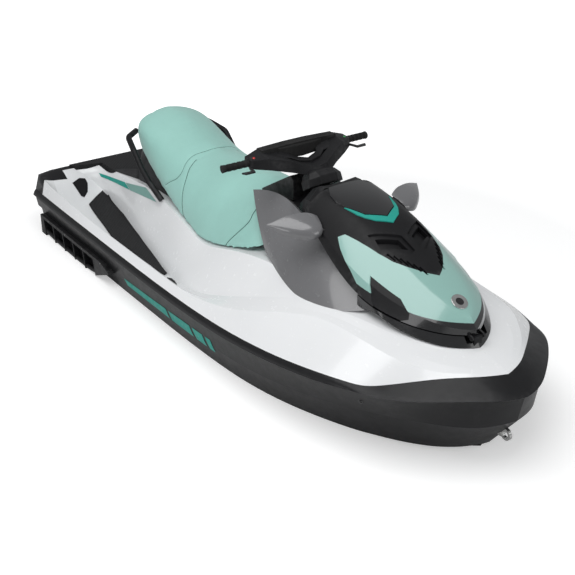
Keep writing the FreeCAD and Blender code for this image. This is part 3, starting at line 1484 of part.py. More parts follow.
doc.recompute()
for item in doc.Objects:
    if "Invalid" in item.State or "Error" in item.State:
        raise RuntimeError("failed: " + item.Label)
for node in nodes:
    if node.Shape.isNull() or not node.Shape.isValid():
        raise RuntimeError("bad shape: " + node.Label)
for node in nodes:
    node.Shape.exportStep("parts/%s.step" % node.Label)
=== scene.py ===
import math
import bpy
import bmesh
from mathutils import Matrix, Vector
from mathutils.bvhtree import BVHTree
from mathutils.kdtree import KDTree


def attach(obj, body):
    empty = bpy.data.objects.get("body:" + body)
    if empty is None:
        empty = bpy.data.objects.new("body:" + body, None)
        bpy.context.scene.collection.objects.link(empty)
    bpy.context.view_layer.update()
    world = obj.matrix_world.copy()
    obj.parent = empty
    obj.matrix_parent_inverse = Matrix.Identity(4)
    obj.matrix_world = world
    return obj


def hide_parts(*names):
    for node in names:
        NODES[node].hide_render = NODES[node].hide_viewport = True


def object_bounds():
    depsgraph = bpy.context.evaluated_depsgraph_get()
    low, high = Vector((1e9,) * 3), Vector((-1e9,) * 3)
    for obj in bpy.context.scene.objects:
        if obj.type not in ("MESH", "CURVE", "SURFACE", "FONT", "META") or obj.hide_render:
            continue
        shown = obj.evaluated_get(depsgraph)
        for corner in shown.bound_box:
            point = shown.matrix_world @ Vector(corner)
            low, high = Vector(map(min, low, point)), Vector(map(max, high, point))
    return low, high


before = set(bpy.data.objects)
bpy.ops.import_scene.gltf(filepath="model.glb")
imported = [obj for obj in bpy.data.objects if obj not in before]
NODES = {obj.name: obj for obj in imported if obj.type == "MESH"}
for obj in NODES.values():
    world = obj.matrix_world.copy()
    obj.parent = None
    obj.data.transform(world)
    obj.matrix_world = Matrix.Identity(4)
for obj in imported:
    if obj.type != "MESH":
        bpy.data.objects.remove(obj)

cad_lo, cad_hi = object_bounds()
STERN_X, KEEL_Z = round(cad_lo[0], 3), round(cad_lo[2], 3)
STARBOARD, PORT = -1, 1
SIDES = {"starboard": STARBOARD, "port": PORT}


def place(x, y, z):
    """A place measured from the stern, the centreline and the keel, in the scene's frame."""
    return Vector((x + STERN_X, y, z + KEEL_Z))


def flip(point, side):
    """A point or direction given for starboard, moved to a side."""
    return Vector((point[0], -side * point[1], point[2]))


def on_side(points, side):
    """Places given for starboard, as points of a side."""
    return [flip(place(*point), side) for point in points]


# Camera at the photograph's viewing angle. Lengths are in metres, save where a name says mm.
CAMERA_EYE = place(5.827, -2.830, 2.914)
CAMERA_AIM = place(-0.042, 1.187, -0.739)
CAMERA_LENS_MM = 70.9
SENSOR_WIDTH_MM = 36
CAMERA_REACH = 60


def aimed(item, spot, aim):
    """Put a camera or lamp at a spot, looking at another."""
    item.location = spot
    item.rotation_euler = (Vector(aim) - Vector(spot)).to_track_quat("-Z", "Y").to_euler()
    bpy.context.scene.collection.objects.link(item)


def add_camera():
    data = bpy.data.cameras.new("camera")
    data.lens = CAMERA_LENS_MM
    data.sensor_width = SENSOR_WIDTH_MM
    data.clip_end = CAMERA_REACH
    camera = bpy.data.objects.new("camera", data)
    aimed(camera, CAMERA_EYE, CAMERA_AIM)
    bpy.context.scene.camera = camera


add_camera()


# Materials: every surface has its own grain, colour variation and gloss.
class Graph:
    """Short calls to build a tree of shader nodes."""

    def __init__(self, tree):
        self.tree = tree

    def add(self, kind, values=(), **settings):
        """A new node, with its settings and the plain values of its inputs."""
        node = self.tree.nodes.new(kind)
        for key, value in settings.items():
            setattr(node, key, value)
        for socket, value in dict(values).items():
            node.inputs[socket].default_value = value
        return node

    def join(self, source, target):
        self.tree.links.new(source, target)


class Nodes(Graph):
    """Short calls to build one material round its shader."""

    def __init__(self, name):
        self.material = bpy.data.materials.new(name)
        self.material.use_nodes = True
        super().__init__(self.material.node_tree)
        self.shader = self.tree.nodes["Principled BSDF"]
        self.coord = self.add("ShaderNodeTexCoord").outputs["Object"]

    def noise(self, scale, detail=3.0, rough=0.5, stretch=(1, 1, 1)):
        mapping = self.add("ShaderNodeMapping", {"Scale": stretch})
        self.join(self.coord, mapping.inputs["Vector"])
        node = self.add("ShaderNodeTexNoise",
                        {"Scale": scale, "Detail": detail, "Roughness": rough})
        self.join(mapping.outputs["Vector"], node.inputs["Vector"])
        return node.outputs["Fac"]

    def cells(self, scale):
        node = self.add("ShaderNodeTexVoronoi", {"Scale": scale}, feature="F1")
        self.join(self.coord, node.inputs["Vector"])
        return node.outputs["Distance"]

    def ranged(self, value, low, high, start=0.3, end=0.7):
        """A value that runs from low to high while the given one runs from start to end."""
        node = self.add("ShaderNodeMapRange", {"From Min": start, "From Max": end,
                                               "To Min": low, "To Max": high})
        self.join(value, node.inputs["Value"])
        return node.outputs["Result"]

    def mixed(self, factor, first, second):
        """Two colours, each a tuple or an output, mixed by a factor."""
        node = self.add("ShaderNodeMix", data_type="RGBA")
        self.join(factor, node.inputs["Factor"])
        for colour, socket in ((first, node.inputs["A"]), (second, node.inputs["B"])):
            if isinstance(colour, tuple):
                socket.default_value = (*colour, 1)
            else:
                self.join(colour, socket)
        return node.outputs["Result"]

    def bump(self, height, strength, depth, below=None):
        node = self.add("ShaderNodeBump", {"Strength": strength, "Distance": depth})
        self.join(height, node.inputs["Height"])
        if below is not None:
            self.join(below, node.inputs["Normal"])
        return node.outputs["Normal"]

    def surface(self, linked, even=()):
        """Feed the shader's inputs from nodes, and set those that are the same all over."""
        for socket, source in linked.items():
            self.join(source, self.shader.inputs[socket])
        for socket, value in dict(even).items():
            self.shader.inputs[socket].default_value = value
        return self.material


def shade(colour, amount):
    return tuple(min(1.0, channel * amount) for channel in colour)


def gelcoat_nodes(name, colour, rough=0.16, coat=0.6, vary=0.04, flake=0.0):
    """Polished gelcoat: a clear top over a faintly uneven colour, with fine polish marks."""
    n = Nodes(name)
    cloud = n.ranged(n.noise(scale=2.3, detail=4), 0, 1)
    tone = n.mixed(cloud, shade(colour, 1 - vary), shade(colour, 1 + vary))
    if flake:
        sparks = n.ranged(n.cells(scale=1500), 0, flake, start=0.1, end=0.6)
        tone = n.mixed(sparks, tone, shade(colour, 2.2))
    scuff = n.ranged(n.noise(scale=38, detail=6, rough=0.7), rough * 0.8, rough * 1.5)
    peel = n.bump(n.noise(scale=160, detail=2), strength=0.06, depth=0.0006)
    n.surface({"Base Color": tone, "Roughness": scuff, "Normal": peel},
              {"Coat Weight": coat, "Coat Roughness": 0.06})
    return n


def gelcoat(name, colour, **look):
    return gelcoat_nodes(name, colour, **look).material


def two_tone(name, upper, lower, slope, level, blend=0.0006):
    """Gelcoat in two colours that part along a sloping plane through the piece."""
    n = gelcoat_nodes(name, upper, rough=0.16, coat=0.7, vary=0.02)
    height = n.add("ShaderNodeVectorMath", {1: slope}, operation="DOT_PRODUCT")
    n.join(n.coord, height.inputs[0])
    edge = n.ranged(height.outputs["Value"], 0, 1, start=level - blend, end=level + blend)
    upper_tone = n.shader.inputs["Base Color"].links[0].from_socket
    return n.surface({"Base Color": n.mixed(edge, lower, upper_tone)})


def moulded(name, colour, rough=0.5, grain=900, strength=0.25, wear=0.10, coat=0.0):
    """Moulded plastic with a leather-like spark texture and paler rubbed edges."""
    n = Nodes(name)
    blotch = n.ranged(n.noise(scale=6, detail=5, rough=0.6), 0, 1)
    base = n.mixed(blotch, shade(colour, 0.82), shade(colour, 1.22))
    edge = n.add("ShaderNodeNewGeometry").outputs["Pointiness"]
    rubbed = n.add("ShaderNodeMath", operation="MULTIPLY", use_clamp=True)
    n.join(n.ranged(edge, 0, 1, start=0.52, end=0.62), rubbed.inputs[0])
    n.join(n.ranged(n.noise(scale=45, detail=5), 0, wear * 4), rubbed.inputs[1])
    pale = tuple(channel * 0.6 + 0.10 for channel in colour)
    gloss = n.ranged(n.noise(scale=22, detail=6, rough=0.65), rough * 0.85, rough * 1.15)
    pits = n.bump(n.cells(grain), strength, depth=0.0004)
    swirl = n.bump(n.noise(grain / 3, detail=3), strength * 0.5, depth=0.0005, below=pits)
    return n.surface({"Base Color": n.mixed(rubbed.outputs[0], base, pale), "Roughness": gloss,
                      "Normal": swirl},
                     {"Specular IOR Level": 0.22, "Coat Weight": coat, "Coat Roughness": 0.12})


def vinyl(name, colour):
    """Marine vinyl: pebbled grain in two sizes, with painted shade between the pebbles, and a
    sheen.
    """
    n = Nodes(name)
    blotch = n.ranged(n.noise(scale=3.1, detail=5, rough=0.6), 0, 1)
    tone = n.mixed(blotch, shade(colour, 0.93), shade(colour, 1.06))
    pebble = n.cells(scale=520)
    # Painted shade: the colour darkens between the pebbles, where shade falls.
    pebble_shade = n.ranged(pebble, 0, 0.10, start=0.35, end=0.75)
    gloss = n.ranged(n.noise(scale=18, detail=5), 0.42, 0.58)
    coarse = n.bump(n.noise(scale=60, detail=4), strength=0.10, depth=0.0015)
    grain = n.bump(pebble, strength=0.35, depth=0.0005, below=coarse)
    return n.surface({"Base Color": n.mixed(pebble_shade, tone, shade(colour, 0.72)),
                      "Roughness": gloss, "Normal": grain},
                     {"Sheen Weight": 0.25, "Sheen Roughness": 0.45})


def foam(name, colour):
    """Closed-cell foam mat with ploughed furrows, painted darker in them as shade, and fine open
    pores.
    """
    n = Nodes(name)
    wave = n.add("ShaderNodeTexWave", {"Scale": 30, "Distortion": 0},
                 wave_type="BANDS", bands_direction="DIAGONAL")
    n.join(n.coord, wave.inputs["Vector"])
    # Painted shade: the colour is darker down in the furrows than on the ribs.
    groove_shade = n.ranged(wave.outputs["Fac"], 0, 1, start=0.25, end=0.6)
    tone = n.mixed(groove_shade, shade(colour, 0.75), shade(colour, 1.1))
    dust = n.ranged(n.noise(scale=9, detail=5), 0, 0.25)
    pores = n.bump(n.cells(scale=700), strength=0.4, depth=0.0006)
    ribs = n.bump(wave.outputs["Fac"], strength=0.35, depth=0.002, below=pores)
    return n.surface({"Base Color": n.mixed(dust, tone, shade(colour, 1.6)), "Normal": ribs},
                     {"Roughness": 0.9})


def metal(name, colour, rough, grain, stretch=(1, 1, 1), strength=0.1):
    """Metal with a cast or brushed surface."""
    n = Nodes(name)
    blotch = n.ranged(n.noise(scale=14, detail=6, rough=0.6), 0, 1)
    tone = n.mixed(blotch, shade(colour, 0.8), shade(colour, 1.1))
    streaks = n.noise(grain / 4, detail=5, rough=0.6, stretch=stretch)
    skin = n.bump(n.noise(grain, detail=4, rough=0.6, stretch=stretch), strength, depth=0.0006)
    return n.surface({"Base Color": tone, "Normal": skin,
                      "Roughness": n.ranged(streaks, rough * 0.7, rough * 1.3)},
                     {"Metallic": 1.0})


WHITE = (0.80, 0.81, 0.82)
MINT = (0.262, 0.462, 0.418)
SEAT_MINT = (0.310, 0.580, 0.520)
TEAL = (0.006, 0.310, 0.250)
PALE_TEAL = (0.200, 0.385, 0.345)
THREAD_GREEN = (0.06, 0.15, 0.13)
GREY = (0.125, 0.125, 0.130)
HULL_BLACK = (0.009, 0.009, 0.010)
RUBBER_BLACK = (0.009, 0.009, 0.009)
PLASTIC_BLACK = (0.007, 0.007, 0.008)
JET = (0.006, 0.006, 0.007)
GLOSS_BLACK = (0.005, 0.005, 0.006)
ALUMINIUM = (0.42, 0.43, 0.44)
STEEL = (0.62, 0.62, 0.61)
IRON = (0.25, 0.25, 0.26)
SILVER = (0.86, 0.88, 0.90)
RED = (0.45, 0.02, 0.015)
GREEN = (0.02, 0.25, 0.06)
HOOD_SLOPE = (0.145, 0, 1)
HOOD_LEVEL = 0.725
BRUSHED = (1, 30, 30)

# Each material's maker and its look.
LOOKS = {
    "white_gelcoat": (gelcoat, dict(colour=WHITE, rough=0.20, coat=0.5, vary=0.015)),
    "hood_two_tone": (two_tone, dict(upper=MINT, lower=JET, slope=HOOD_SLOPE, level=HOOD_LEVEL)),
    "grey_gelcoat": (gelcoat, dict(colour=GREY, rough=0.20, coat=0.8, vary=0.04, flake=0.15)),
    "teal_decal": (gelcoat, dict(colour=TEAL, rough=0.42, coat=0.0, vary=0.05)),
    "pale_decal": (gelcoat, dict(colour=PALE_TEAL, rough=0.42, coat=0.0, vary=0.04)),
    "mint_vinyl": (vinyl, dict(colour=SEAT_MINT)),
    "seam_thread": (vinyl, dict(colour=THREAD_GREEN)),
    "black_hull": (moulded, dict(colour=HULL_BLACK, rough=0.36, grain=1100, strength=0.10,
                                 wear=0.05, coat=0.10)),
    "black_plastic": (moulded, dict(colour=PLASTIC_BLACK, rough=0.46, grain=900, strength=0.22)),
    "black_gloss": (gelcoat, dict(colour=GLOSS_BLACK, rough=0.16, coat=0.6, vary=0.10)),
    "dark_satin": (moulded, dict(colour=JET, rough=0.30, grain=1200, strength=0.06, wear=0.04)),
    "black_rubber": (moulded, dict(colour=RUBBER_BLACK, rough=0.70, grain=700, strength=0.45,
                                   wear=0.06)),
    "dark_insert": (moulded, dict(colour=JET, rough=0.60, grain=1000, strength=0.20, wear=0.06)),
    "foam_mat": (foam, dict(colour=HULL_BLACK)),
    "cast_aluminium": (metal, dict(colour=ALUMINIUM, rough=0.42, grain=420, strength=0.35)),
    "stainless": (metal, dict(colour=STEEL, rough=0.20, grain=300, stretch=BRUSHED,
                              strength=0.08)),
    "engine_metal": (metal, dict(colour=IRON, rough=0.5, grain=300, strength=0.3)),
    "mirror_glass": (metal, dict(colour=SILVER, rough=0.02, grain=40, strength=0.0)),
    "signal_red": (gelcoat, dict(colour=RED, rough=0.35, coat=0.3)),
    "signal_green": (gelcoat, dict(colour=GREEN, rough=0.35, coat=0.3)),
}
mats = {name: maker(name, **look) for name, (maker, look) in LOOKS.items()}

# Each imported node's material.
FINISH = {
    "white_gelcoat": ["deck"],
    "grey_gelcoat": ["side_panel_port", "side_panel_starboard", "mirror_shells"],
    "hood_two_tone": ["hood_lid"],
    "teal_decal": ["chevron_trim"],
    "mint_vinyl": ["seat"],
    "black_hull": ["hull", "bow_bumper", "rub_rail_port", "rub_rail_starboard"],
    "black_gloss": ["hood_panel", "nose_trim"],
    "dark_satin": ["side_vents"],
    "black_rubber": ["bar_pad", "grips", "steering_boot"],
    "black_plastic": ["storage_bin", "seat_base_trim", "hood_centre", "hood_hinge", "dash",
                      "display_pod", "handlebar", "levers", "mirror_arms", "grab_handle_port",
                      "grab_handle_starboard", "sponson_port", "sponson_starboard",
                      "reverse_bucket"],
    "foam_mat": ["footwell_mat_port", "footwell_mat_starboard", "platform_mat"],
    "mirror_glass": ["mirror_glasses"],
    "stainless": ["bow_eye", "stern_eyes", "impeller"],
    "cast_aluminium": ["pump_housing", "steering_nozzle", "ride_plate", "intake_grate"],
    "engine_metal": ["engine"],
}


def paint(item, name):
    """Give an object one of the materials all over."""
    if not item.data.materials:
        item.data.materials.append(mats[name])
    for slot in item.material_slots:
        slot.material = mats[name]


for material_name, node_names in FINISH.items():
    for node_name in node_names:
        paint(NODES[node_name], material_name)


# Helpers for the pieces that are laid on the model's own surfaces.
DRAPE_STEP = 0.012
DRAPE_FROM = 0.4
DRAPE_REACH = 0.9


def tree_of(mesh):
    """A search tree over a mesh's faces."""
    corners = [vertex.co.copy() for vertex in mesh.vertices]
    return BVHTree.FromPolygons(corners, [list(polygon.vertices) for polygon in mesh.polygons])


def meshed(name, built):
    """A finished bmesh as a mesh."""
    mesh = bpy.data.meshes.new(name)
    built.to_mesh(mesh)
    built.free()
    return mesh


def piece(name, mesh, body, material, smooth=True):
    """A new object that rides on a body."""
    item = bpy.data.objects.new(name, mesh)
    bpy.context.scene.collection.objects.link(item)
    mesh.materials.append(mats[material])
    for polygon in mesh.polygons:
        polygon.use_smooth = smooth
    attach(item, body)
    return item


def split_edges(built, longest):
    """Halve the edges of triangles until none is longer than given."""
    for _ in range(8):
        long_edges = [edge for edge in built.edges if edge.calc_length() > longest]
        if not long_edges:
            break
        bmesh.ops.subdivide_edges(built, edges=long_edges, cuts=1)
        bmesh.ops.triangulate(built, faces=[f for f in built.faces if len(f.verts) > 3])


def draped(name, outline, toward, tree, body, material, lift):
    """A thin skin inside an outline, dropped onto a surface along a direction."""
    toward = Vector(toward).normalized()
    across = toward.cross(Vector((0, 0, 1)))
    across = across.normalized() if across.length > 0.01 else Vector((1, 0, 0))
    upward = across.cross(toward)
    middle = sum(outline, Vector()) / len(outline)
    flat = [((p - middle).dot(across), (p - middle).dot(upward)) for p in outline]
    built = bmesh.new()
    face = built.faces.new([built.verts.new((u, v, 0)) for u, v in flat])
    built.normal_update()
    bmesh.ops.triangulate(built, faces=[face])
    split_edges(built, DRAPE_STEP)
    lost = []
    for vertex in built.verts:
        start = middle + across * vertex.co.x + upward * vertex.co.y - toward * DRAPE_FROM
        hit, normal, _, _ = tree.ray_cast(start, toward, DRAPE_REACH)
        if hit is None:
            lost.append(vertex)
            continue
        if normal.dot(toward) > 0:
            normal = -normal
        vertex.co = hit + normal * lift
    bmesh.ops.delete(built, geom=lost, context="VERTS")
    built.normal_update()
    if sum(f.normal.dot(toward) for f in built.faces) > 0:
        bmesh.ops.reverse_faces(built, faces=built.faces[:])
    return piece(name, meshed(name, built), body, material)


def thickened(item, wall):
    """Give a skin a real thickness."""
    shell = item.modifiers.new("wall", "SOLIDIFY")
    shell.thickness = wall
    shell.offset = 1
    return item


def wire(name, points, radius, body, material):
    """A round cord of trim along points, with closed ends."""
    curve = bpy.data.curves.new(name, "CURVE")
    curve.dimensions = "3D"
    spline = curve.splines.new("NURBS")
    spline.points.add(len(points) - 1)
    for target, point in zip(spline.points, points):
        target.co = (*point, 1)
    spline.order_u = 3
    spline.use_endpoint_u = True
    curve.bevel_depth = radius
    curve.bevel_resolution = 3
    curve.use_fill_caps = True
    item = bpy.data.objects.new(name, curve)
    bpy.context.scene.collection.objects.link(item)
    curve.materials.append(mats[material])
    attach(item, body)
    return item


def ringed(rings):
    """A closed bmesh through rings that have equal numbers of corners."""
    built = bmesh.new()
    rows = [[built.verts.new(corner) for corner in ring] for ring in rings]
    count = len(rows[0])
    for low, high in zip(rows, rows[1:]):
        for index in range(count):
            after = (index + 1) % count
            built.faces.new([low[index], low[after], high[after], high[index]])
    built.faces.new(rows[-1])
    built.faces.new(rows[0][::-1])
    return built


def lathe(name, spot, axis, profile, body, material, steps):
    """A turned piece: radius and height pairs spun round an axis."""
    turn = Vector(axis).to_track_quat("Z", "Y")
    angles = [2 * math.pi * index / steps for index in range(steps)]
    rings = [[Vector(spot) + turn @ Vector((radius * math.cos(angle),
                                            radius * math.sin(angle), height))
              for angle in angles] for radius, height in profile]
    return piece(name, meshed(name, ringed(rings)), body, material)


def joined(name, parts):
    """Several like pieces as one object."""
    for other in bpy.context.selected_objects:
        other.select_set(False)
    for part in parts:
        part.select_set(True)
    bpy.context.view_layer.objects.active = parts[0]
    bpy.ops.object.join()
    parts[0].name = name
    return parts[0]


deck_tree = tree_of(NODES["deck"].data)
hull_tree = tree_of(NODES["hull"].data)
lid_tree = tree_of(NODES["hood_lid"].data)


# Seat: the cover swells over its foam, then its seams are pressed in and get their thread.
CROSS_SEAM = [(0.918, 0.249, 0.687), (0.974, 0.245, 0.727), (1.012, 0.236, 0.754),
              (1.027, 0.213, 0.792), (1.006, 0.164, 0.829), (1.001, 0.115, 0.850),
              (1.020, 0.062, 0.864), (1.030, 0.0, 0.868)]
SIDE_SEAMS = [
    [(1.041, 0.124, 0.843), (1.052, 0.167, 0.823), (1.084, 0.219, 0.779), (1.109, 0.255, 0.713),
     (1.138, 0.277, 0.657), (1.175, 0.298, 0.598), (1.185, 0.305, 0.585)],
    [(1.690, 0.185, 0.815), (1.696, 0.205, 0.800), (1.709, 0.230, 0.775), (1.704, 0.255, 0.746),
     (1.673, 0.287, 0.699), (1.637, 0.310, 0.655), (1.628, 0.324, 0.625)],
]
SEAM_STEPS = 70
SEAM_DEPTH, SEAM_WIDTH, SEAM_REACH = 0.0035, 0.0055, 0.016
CROSS_THREAD, SIDE_THREAD = 0.0014, 0.0022
THREAD_SINK = 0.0026
COVER_VOXEL = 0.0115
COVER_ROUNDS = 12
COVER_INSET = 0.006
PIN_GAP = 0.035
PIN_FACING = -0.3
SWELL_FRAMES = 20
SWELL_PRESSURE = 4
SWELL_CAP = 0.022


def bare_copy(node, name):
    """A node's mesh as a new object with none of the node's ties."""
    item = bpy.data.objects.new(name, NODES[node].data.copy())
    item.data.materials.clear()
    bpy.context.scene.collection.objects.link(item)
    return item


def bake_modifiers(item):
    """Turn an object's modifiers into its own mesh."""
    graph = bpy.context.evaluated_depsgraph_get()
    mesh = bpy.data.meshes.new_from_object(item.evaluated_get(graph))
    item.modifiers.clear()
    old = item.data
    item.data = mesh
    bpy.data.meshes.remove(old)


def swell(seat):
    """Push the cover out with a cloth under pressure, pinned low down and near the deck."""
    start = [vertex.co.copy() for vertex in seat.data.vertices]
    pins = seat.vertex_groups.new(name="pins")
    seat.data.update()
    for vertex in seat.data.vertices:
        gap = deck_tree.find_nearest(vertex.co)[3]
        if gap < PIN_GAP or vertex.normal.z < PIN_FACING:
            pins.add([vertex.index], 1.0, "REPLACE")
    cloth = seat.modifiers.new("cover", "CLOTH")
    setup = cloth.settings
    setup.quality = 5
    setup.mass = 0.4
    setup.tension_stiffness = 40
    setup.compression_stiffness = 40
    setup.shear_stiffness = 20
    setup.bending_stiffness = 2
    setup.use_pressure = True
    setup.uniform_pressure_force = SWELL_PRESSURE
    setup.vertex_group_mass = "pins"
    setup.effector_weights.gravity = 0
    cloth.collision_settings.use_collision = False
    cloth.collision_settings.use_self_collision = False
    cloth.point_cache.frame_start = 1
    cloth.point_cache.frame_end = SWELL_FRAMES
    scene = bpy.context.scene
    for number in range(1, SWELL_FRAMES + 1):
        scene.frame_set(number)
    graph = bpy.context.evaluated_depsgraph_get()
    swelled = [vertex.co.copy() for vertex in seat.evaluated_get(graph).data.vertices]
    seat.modifiers.clear()
    seat.vertex_groups.clear()
    scene.frame_set(1)
    for vertex, before, after in zip(seat.data.vertices, start, swelled):
        move = after - before
        if move.length > SWELL_CAP:
            move = move.normalized() * SWELL_CAP
        vertex.co = before + move


def swollen_seat():
    """The seat's solid as an even mesh, drawn in a little and swollen under its cover."""
    seat = bare_copy("seat", "seat_cover")
    remesh = seat.modifiers.new("voxels", "REMESH")
    remesh.mode = "VOXEL"
    remesh.voxel_size = COVER_VOXEL
    smooth = seat.modifiers.new("settle", "SMOOTH")
    smooth.iterations = COVER_ROUNDS
    inset = seat.modifiers.new("inset", "DISPLACE")
    inset.strength = -COVER_INSET
    inset.mid_level = 0
    bake_modifiers(seat)
    swell(seat)
    fine = seat.modifiers.new("fine", "SUBSURF")
    fine.levels = 1
    bake_modifiers(seat)
    return seat


def smooth_points(points, count):
    """Evenly numbered points along a rounded line through the given ones."""
    out = []
    spans = len(points) - 1
    for index in range(count + 1):
        share = index / count * spans
        base = min(int(share), spans - 1)
        t = share - base
        p = [Vector(points[max(0, min(spans, base + k))]) for k in (-1, 0, 1, 2)]
        square = 2 * p[0] - 5 * p[1] + 4 * p[2] - p[3]
        cube = 3 * p[1] - p[0] - 3 * p[2] + p[3]
        out.append(0.5 * (2 * p[1] + (p[2] - p[0]) * t + square * t * t + cube * t ** 3))
    return out


def seam_lines():
    """The cross seam over the whole seat, then each side seam to starboard and to port."""
    half = [place(*point) for point in CROSS_SEAM]
    whole = [Vector((p.x, -p.y, p.z)) for p in half] + half[-2::-1]
    lines = [smooth_points(whole, 2 * SEAM_STEPS)]
    for seam in SIDE_SEAMS:
        for side in SIDES.values():
            places = [place(x, side * y, z) for x, y, z in seam]
            lines.append(smooth_points(places, SEAM_STEPS))
    return lines


def sew(seat):
    """Press the seams into the cover and lay the thread in them."""
    mesh = seat.data
    mesh.update()
    skin = tree_of(mesh)
    laid = [[skin.find_nearest(point)[0] for point in line] for line in seam_lines()]
    spots = [point for line in laid for point in line]
    finder = KDTree(len(spots))
    for index, point in enumerate(spots):
        finder.insert(point, index)
    finder.balance()
    places = []
    for vertex in mesh.vertices:
        gap = finder.find(vertex.co)[2]
        depth = SEAM_DEPTH * math.exp(-(gap / SEAM_WIDTH) ** 2) if gap < SEAM_REACH else 0
        places.extend(vertex.co - vertex.normal * depth)
    mesh.vertices.foreach_set("co", places)
    mesh.update()
    for number, line in enumerate(laid):
        sunk = [point - skin.find_nearest(point)[1] * THREAD_SINK for point in line[::3]]
        radius = CROSS_THREAD if number == 0 else SIDE_THREAD
        wire("seat_seam_%d" % number, sunk, radius, "hull_body", "seam_thread")


cover = swollen_seat()
cover.data.materials.clear()
cover.data.materials.append(mats["mint_vinyl"])
for polygon in cover.data.polygons:
    polygon.use_smooth = True
    polygon.material_index = 0
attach(cover, "hull_body")
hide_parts("seat")
sew(cover)


# Colour bands, insets and mats on the deck, as thin skins on the moulding. Outlines are given
# for starboard.
DECK_DARK = [(0.119, -0.252, 0.496), (0.395, -0.223, 0.523), (0.478, -0.236, 0.507),
             (0.136, -0.249, 0.478)]
DECK_PALE = [(0.404, -0.224, 0.524), (0.663, -0.229, 0.582), (0.845, -0.261, 0.566),
             (0.486, -0.236, 0.507)]
INSET = [(0.117, -0.422, 0.471), (0.091, -0.367, 0.481), (0.093, -0.331, 0.471),
         (0.116, -0.328, 0.450), (0.168, -0.355, 0.417), (0.206, -0.395, 0.405),
         (0.195, -0.410, 0.414)]
WELL_MAT = [(0.161, -0.261, 0.4), (0.223, -0.247, 0.4), (0.350, -0.263, 0.4),
            (0.478, -0.282, 0.4), (0.772, -0.338, 0.4), (1.057, -0.397, 0.4),
            (1.274, -0.449, 0.4), (1.289, -0.470, 0.4), (1.235, -0.470, 0.4),
            (1.121, -0.462, 0.4), (0.670, -0.462, 0.4), (0.524, -0.434, 0.4),
            (0.377, -0.412, 0.4), (0.266, -0.397, 0.4), (0.208, -0.326, 0.4)]
MAT_TIP = [(1.339, -0.484, 0.4), (1.371, -0.474, 0.4), (1.430, -0.490, 0.4),
           (1.502, -0.517, 0.4)]
SKINS = [("deck_band_dark_", DECK_DARK, "teal_decal"),
         ("deck_band_pale_", DECK_PALE, "pale_decal"),
         ("deck_inset_", INSET, "dark_insert")]
SLANTED = (-0.55, 0.75, -0.45)
INWARD = (0, 1, 0)
DOWN = (0, 0, -1)
SKIN_LIFT = 0.0015
MAT_LIFT = 0.0010
MAT_WALL, TIP_WALL = 0.006, 0.003

# The side stripe: leaning bars between two lines that rise toward the bow.
BARS = [(1.080, 1.520), (1.545, 1.745), (1.770, 1.860), (1.885, 1.930)]
BARS_FROM = 1.08
BAR_LEAN = 0.020
BAR_Y = -0.59
BAR_FOOT, BAR_FOOT_RISE = 0.272, 0.012
BAR_HEAD, BAR_HEAD_RISE = 0.306, 0.045

DRAIN_SPOT = (2.858, -0.4435, 0.456)
DRAIN_FACING = (0.35, -0.92, 0)
DRAIN_PROFILE = [(0.0105, -0.003), (0.0105, 0.0015), (0.0085, 0.0022), (0.0065, 0.0015),
                 (0.0065, -0.001)]


def bar_outline(start, end):
    foot = [BAR_FOOT + (x - BARS_FROM) * BAR_FOOT_RISE for x in (start, end)]
    head = [BAR_HEAD + (x - BARS_FROM) * BAR_HEAD_RISE for x in (start, end)]
    return [(start + BAR_LEAN, BAR_Y, foot[0]), (end + BAR_LEAN, BAR_Y, foot[1]),
            (end, BAR_Y, head[1]), (start, BAR_Y, head[0])]


for name, side in SIDES.items():
    for prefix, outline, material_name in SKINS:
        draped(prefix + name, on_side(outline, side), flip(SLANTED, side), deck_tree,
               "hull_body", material_name, SKIN_LIFT)
    mat = draped("well_mat_" + name, on_side(WELL_MAT, side), DOWN, deck_tree, "hull_body",
                 "foam_mat", MAT_LIFT)
    thickened(mat, MAT_WALL)
    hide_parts("footwell_mat_" + name)
    tip = draped("well_mat_tip_" + name, on_side(MAT_TIP, side), DOWN, deck_tree, "hull_body",
                 "foam_mat", MAT_LIFT)
    thickened(tip, TIP_WALL)
    joined("side_stripe_" + name,
           [draped("side_bar", on_side(bar_outline(start, end), side), flip(INWARD, side),
                   hull_tree, "hull_body", "teal_decal", SKIN_LIFT) for start, end in BARS])
    lathe("drain_plug_" + name, flip(place(*DRAIN_SPOT), side), flip(DRAIN_FACING, side),
          DRAIN_PROFILE, "hull_body", "black_gloss", steps=24)


# Black stern corners, the dark stern face and the dark floor behind the seat, cut out of the
# deck by planes: a point of each plane, and the side of it that goes.
CORNER_FRONT = ((0.098, 0, 0.45), (1, 0, 0.12))
CORNER_Y = 0.44
FACE_Y = 0.445
STERN_FACE = [((0.030, 0, 0), (1, 0, 0)), ((0, FACE_Y, 0), (0, 1, 0)),
              ((0, -FACE_Y, 0), (0, -1, 0))]
REAR_FLOOR = [((0.034, 0, 0), (-1, 0, 0)), ((0.62, 0, 0), (1, 0, 0)),
              ((0, 0, 0.505), (0, 0, -1)), ((0.08, 0.232, 0), (0.105, 1, 0)),
              ((0.08, -0.232, 0), (0.105, -1, 0))]
STERN_LIFT = 0.0008
FLOOR_LIFT = 0.002


def skin_patch(name, node, cuts, body, material, lift):
    """A cover that follows a node's own faces, cut out by planes."""
    built = bmesh.new()
    built.from_mesh(NODES[node].data)
    bmesh.ops.remove_doubles(built, verts=built.verts[:], dist=0.00002)
    for point, away in cuts:
        everything = built.verts[:] + built.edges[:] + built.faces[:]
        bmesh.ops.bisect_plane(built, geom=everything, plane_co=place(*point),
                               plane_no=Vector(away).normalized(), clear_outer=True)
    built.normal_update()
    moves = [(vertex, vertex.normal.copy()) for vertex in built.verts]
    for vertex, normal in moves:
        vertex.co += normal * lift
    return piece(name, meshed(name, built), body, material)


